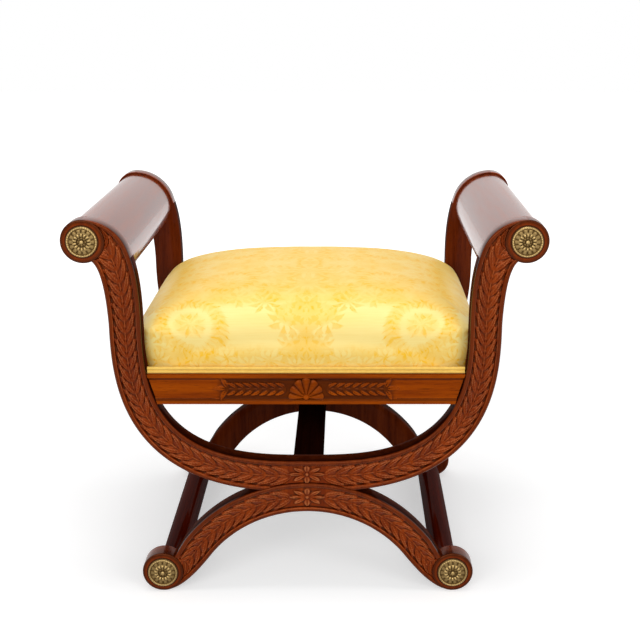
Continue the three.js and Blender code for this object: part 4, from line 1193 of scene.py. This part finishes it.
side_low, side_high = box_mm("right_welt")
side_cord = prism(cord_outline((side_low + side_high)[0] / 2, seat_z), side_low[1], side_high[1])
for side, signs in SIDES.items():
    add_turned(side_cord, f"{side}_cord", welt_cloth, f"{side}_welt", signs, 50)
front_low, front_high = box_mm("front_welt")
front_cord = prism(cord_outline((front_low + front_high)[1] / 2, seat_z), front_low[0], front_high[0])
quarter_turn = Matrix.Rotation(math.pi / 2, 3, "Z")
bmesh.ops.rotate(front_cord, cent=(0, 0, 0), matrix=quarter_turn, verts=front_cord.verts)
for end, signs in ENDS.items():
    add_turned(front_cord, f"{end}_cord", welt_cloth, f"{end}_welt", signs, 50)
print("welts:", round(side_high[1] - side_low[1]), "and", round(front_high[0] - front_low[0]), "mm long")

# %% [markdown]
# ## Under the seat
# Beech blocks, a board, dowels and screws stay as the CAD has them and get their own finishes. The dust
# cover is black cotton tacked under the rails. Cloth can't be one face thick and look real at its edge, so
# a grid with a slight sag is cut round the arms and given a thickness. Its threads are about 0.5 mm apart
# and are drawn 1.1 mm apart, so that they show.

# %% Beech, zinc-plated steel and black dust cloth


def beech():
    """Beech, planed and left bare: pale, dry and even, with short dark flecks along the grain."""
    finish, tree, shader = new_finish("Beech, planed and unfinished")
    place = node(tree, "TexCoord").outputs["Object"]
    grain_at = node(tree, "Mapping", {"Vector": place, "Scale": (0.08, 1, 1)})
    grain = node(tree, "TexNoise", {"Vector": grain_at, "Scale": 260, "Detail": 5})
    fleck = node(tree, "TexNoise", {"Vector": grain_at, "Scale": 1400, "Detail": 1})
    tone = node(tree, "Mix", {0: grain, 6: colour("#b98c5f"), 7: colour("#dcb88a")}, data_type="RGBA")
    dark = node(tree, "MapRange", {0: fleck, 1: 0.6, 2: 0.7, 3: 0, 4: 0.4})
    tone = node(tree, "Mix", {0: dark, 6: tone, 7: colour("#8a6038")}, data_type="RGBA")
    feed(tree, shader, {"Base Color": tone, "Roughness": node(tree, "MapRange", {0: grain, 3: 0.6, 4: 0.8})})
    return finish


def zinc_steel():
    """Zinc-plated steel: a cool light grey metal, with a faint cloudiness in its shine."""
    finish, tree, shader = new_finish("Steel screws, zinc-plated")
    place = node(tree, "TexCoord").outputs["Object"]
    spangle = node(tree, "TexNoise", {"Vector": place, "Scale": 900, "Detail": 3})
    tone = node(tree, "Mix", {0: spangle, 6: colour("#a5a7a8"), 7: colour("#d0d2d3")}, data_type="RGBA")
    rough = node(tree, "MapRange", {0: spangle, 3: 0.25, 4: 0.5})
    feed(tree, shader, {"Base Color": tone, "Roughness": rough, "Metallic": 1})
    return finish


def dust_cloth():
    """Black cotton in a plain weave: quite dull, faintly grey with lint."""
    finish, tree, shader = new_finish("Cotton dust cloth, black")
    place = node(tree, "TexCoord").outputs["Object"]
    threads = {"Vector": place, "Scale": 900, "Color1": colour("#1c1b1a"), "Color2": colour("#2b2a28")}
    weave = node(tree, "TexChecker", threads)
    lint = node(tree, "TexNoise", {"Vector": place, "Scale": 50, "Detail": 4})
    tone = node(tree, "Mix", {0: lint, 6: weave.outputs["Color"], 7: colour("#34322f")}, data_type="RGBA")
    dent = node(tree, "Bump", {"Strength": 0.4, "Distance": 0.0002, "Height": weave.outputs["Fac"]})
    feed(tree, shader, {"Base Color": tone, "Roughness": 0.95, "Normal": dent})
    return finish


# %% Dress what stays as the CAD has it
beech_wood, zinc = beech(), zinc_steel()
for name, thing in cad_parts.items():
    if thing.hide_render or name == "dust_cover":
        continue
    thing.data.materials.clear()
    thing.data.materials.append(zinc if "screw" in name else beech_wood)
print("pieces of beech:", beech_wood.users, "of steel:", zinc.users)

# %% The dust cover as a tacked sheet
COVER_SAG, COVER_THICKNESS, NOTCH_X = 3, 0.5, 201
cover_low, cover_high = box_mm("dust_cover")
notch_y = -limb_back - 2 * JOINT_GAP
cover = bmesh.new()
bmesh.ops.create_grid(cover, x_segments=104, y_segments=84, size=1)
for v in cover.verts:
    x, y = v.co.x * cover_high[0], v.co.y * cover_high[1]
    slack = math.cos(v.co.x * math.pi / 2) * math.cos(v.co.y * math.pi / 2)
    v.co = Vector((x, y, (cover_low[2] + cover_high[2]) / 2 - COVER_SAG * slack)) * MM
for normal_x, normal_y in ((1, 0), (-1, 0), (0, 1), (0, -1)):
    at = (normal_x * NOTCH_X * MM, normal_y * notch_y * MM, 0)
    whole = cover.verts[:] + cover.edges[:] + cover.faces[:]
    bmesh.ops.bisect_plane(cover, geom=whole, dist=1e-6, plane_co=at, plane_no=(normal_x, normal_y, 0))
outside = [
    f for f in cover.faces
    if abs(f.calc_center_median().x) > NOTCH_X * MM and abs(f.calc_center_median().y) > notch_y * MM
]
bmesh.ops.delete(cover, geom=outside, context="FACES")
sheet = add_piece(cover, "dust_sheet", dust_cloth(), ["dust_cover"])
thick = sheet.modifiers.new("Thickness", "SOLIDIFY")
thick.thickness, thick.offset = COVER_THICKNESS * MM, 0
print("dust cover:", [round(2 * side) for side in cover_high[:2]], "mm, with four notches")

# %% [markdown]
# ## Floor, light and camera
# The photograph is a catalogue picture: a white sweep, broad soft light from above and in front, and
# hardly any shadow. Lamps strong enough to turn the floor white would bleach the silk, so the floor glows
# a little, and only camera and mirror rays see that glow, so that it doesn't light the stool from below.

# %% The floor and the world
WHITE = (1, 1, 1, 1)


def seen_directly(tree):
    """1 for the rays that see the backdrop as the eye does, straight, in a mirror or through glass."""
    path = node(tree, "LightPath").outputs
    seen = node(tree, "Math", {0: path["Is Camera Ray"], 1: path["Is Glossy Ray"]}, operation="MAXIMUM")
    return node(tree, "Math", {0: seen, 1: path["Is Transmission Ray"]}, operation="MAXIMUM")


def pale_floor():
    """White paper: matt, and brighter away from the stool, so that it runs into the backdrop."""
    finish, tree, shader = new_finish("White paper sweep")
    seen = seen_directly(tree)
    paper = node(tree, "Mix", {0: seen, 6: colour("#a4a4a4"), 7: colour("#dcdcdc")}, data_type="RGBA")
    far = node(tree, "VectorMath", {0: node(tree, "TexCoord").outputs["Object"]}, operation="LENGTH")
    sweep = node(tree, "MapRange", {0: far, 1: 0.6, 2: 2.4, 3: 0.48, 4: 1.0})
    glow = node(tree, "Math", {0: seen, 1: sweep}, operation="MULTIPLY")
    feed(tree, shader, {
        "Base Color": paper, "Roughness": 0.9, "Specular IOR Level": 0,
        "Emission Color": WHITE, "Emission Strength": glow,
    })
    return finish


FLOOR_HALF, FLOOR_DROP = 8, 0.4
ground = bmesh.new()
bmesh.ops.create_grid(ground, x_segments=1, y_segments=1, size=FLOOR_HALF)
floor = object_of(ground, "floor")
floor.location.z = -FLOOR_DROP * MM
floor.data.materials.append(pale_floor())
floor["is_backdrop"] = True

world = bpy.data.worlds.new("White studio")
bpy.context.scene.world = world
world.use_nodes = True
tree = world.node_tree
backdrop = next(n for n in tree.nodes if n.type == "BACKGROUND")
level = node(tree, "MapRange", {0: seen_directly(tree), 3: 0.33, 4: 1.0})
feed(tree, backdrop, {"Color": WHITE, "Strength": level})
print("floor:", 2 * FLOOR_HALF, "m wide")

# %% Soft boxes, all turned to the middle of the stool
STOOL_MIDDLE = Vector((0, 0, 0.3))


def soft_box(name, at, size, watts):
    lamp = bpy.data.lights.new(name, "AREA")
    lamp.shape, lamp.size, lamp.size_y, lamp.energy = "RECTANGLE", size[0], size[1], watts
    box = bpy.data.objects.new(name, lamp)
    box.location = at
    box.rotation_euler = (STOOL_MIDDLE - Vector(at)).to_track_quat("-Z", "Y").to_euler()
    bpy.context.scene.collection.objects.link(box)


soft_box("key", (-0.6, -2.5, 1.45), (2.6, 0.8), 36)
soft_box("fill", (1.6, -2.0, 1.3), (1.2, 1.2), 16)
soft_box("top", (0, 0.1, 2.7), (1.8, 1.4), 31)
print("lamps:", {lamp.name: lamp.energy for lamp in bpy.data.lights})

# %% The camera at the photograph's angle
CAMERA_AT, PITCH_DOWN, LENS, FRAME_SHIFT = (0.0584, -1.7611, 0.9086), 14.36, 62.3, (-0.04, -0.08)
camera = bpy.data.objects.new("camera", bpy.data.cameras.new("camera"))
bpy.context.scene.collection.objects.link(camera)
camera.location = CAMERA_AT
camera.rotation_euler = (math.radians(90 - PITCH_DOWN), 0, 0)
camera.data.sensor_width, camera.data.lens = 36, LENS
camera.data.shift_x, camera.data.shift_y = FRAME_SHIFT
bpy.context.scene.camera = camera
bpy.context.scene.view_settings.view_transform = "Standard"
print("camera looks down by", PITCH_DOWN, "degrees")

# %% Print the visual box and finish
bpy.context.view_layer.update()
low, high = (list(corner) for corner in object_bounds())
print("visual box in mm:", [round(1000 * v) for v in low + high], "pieces made:", len(pieces_made))
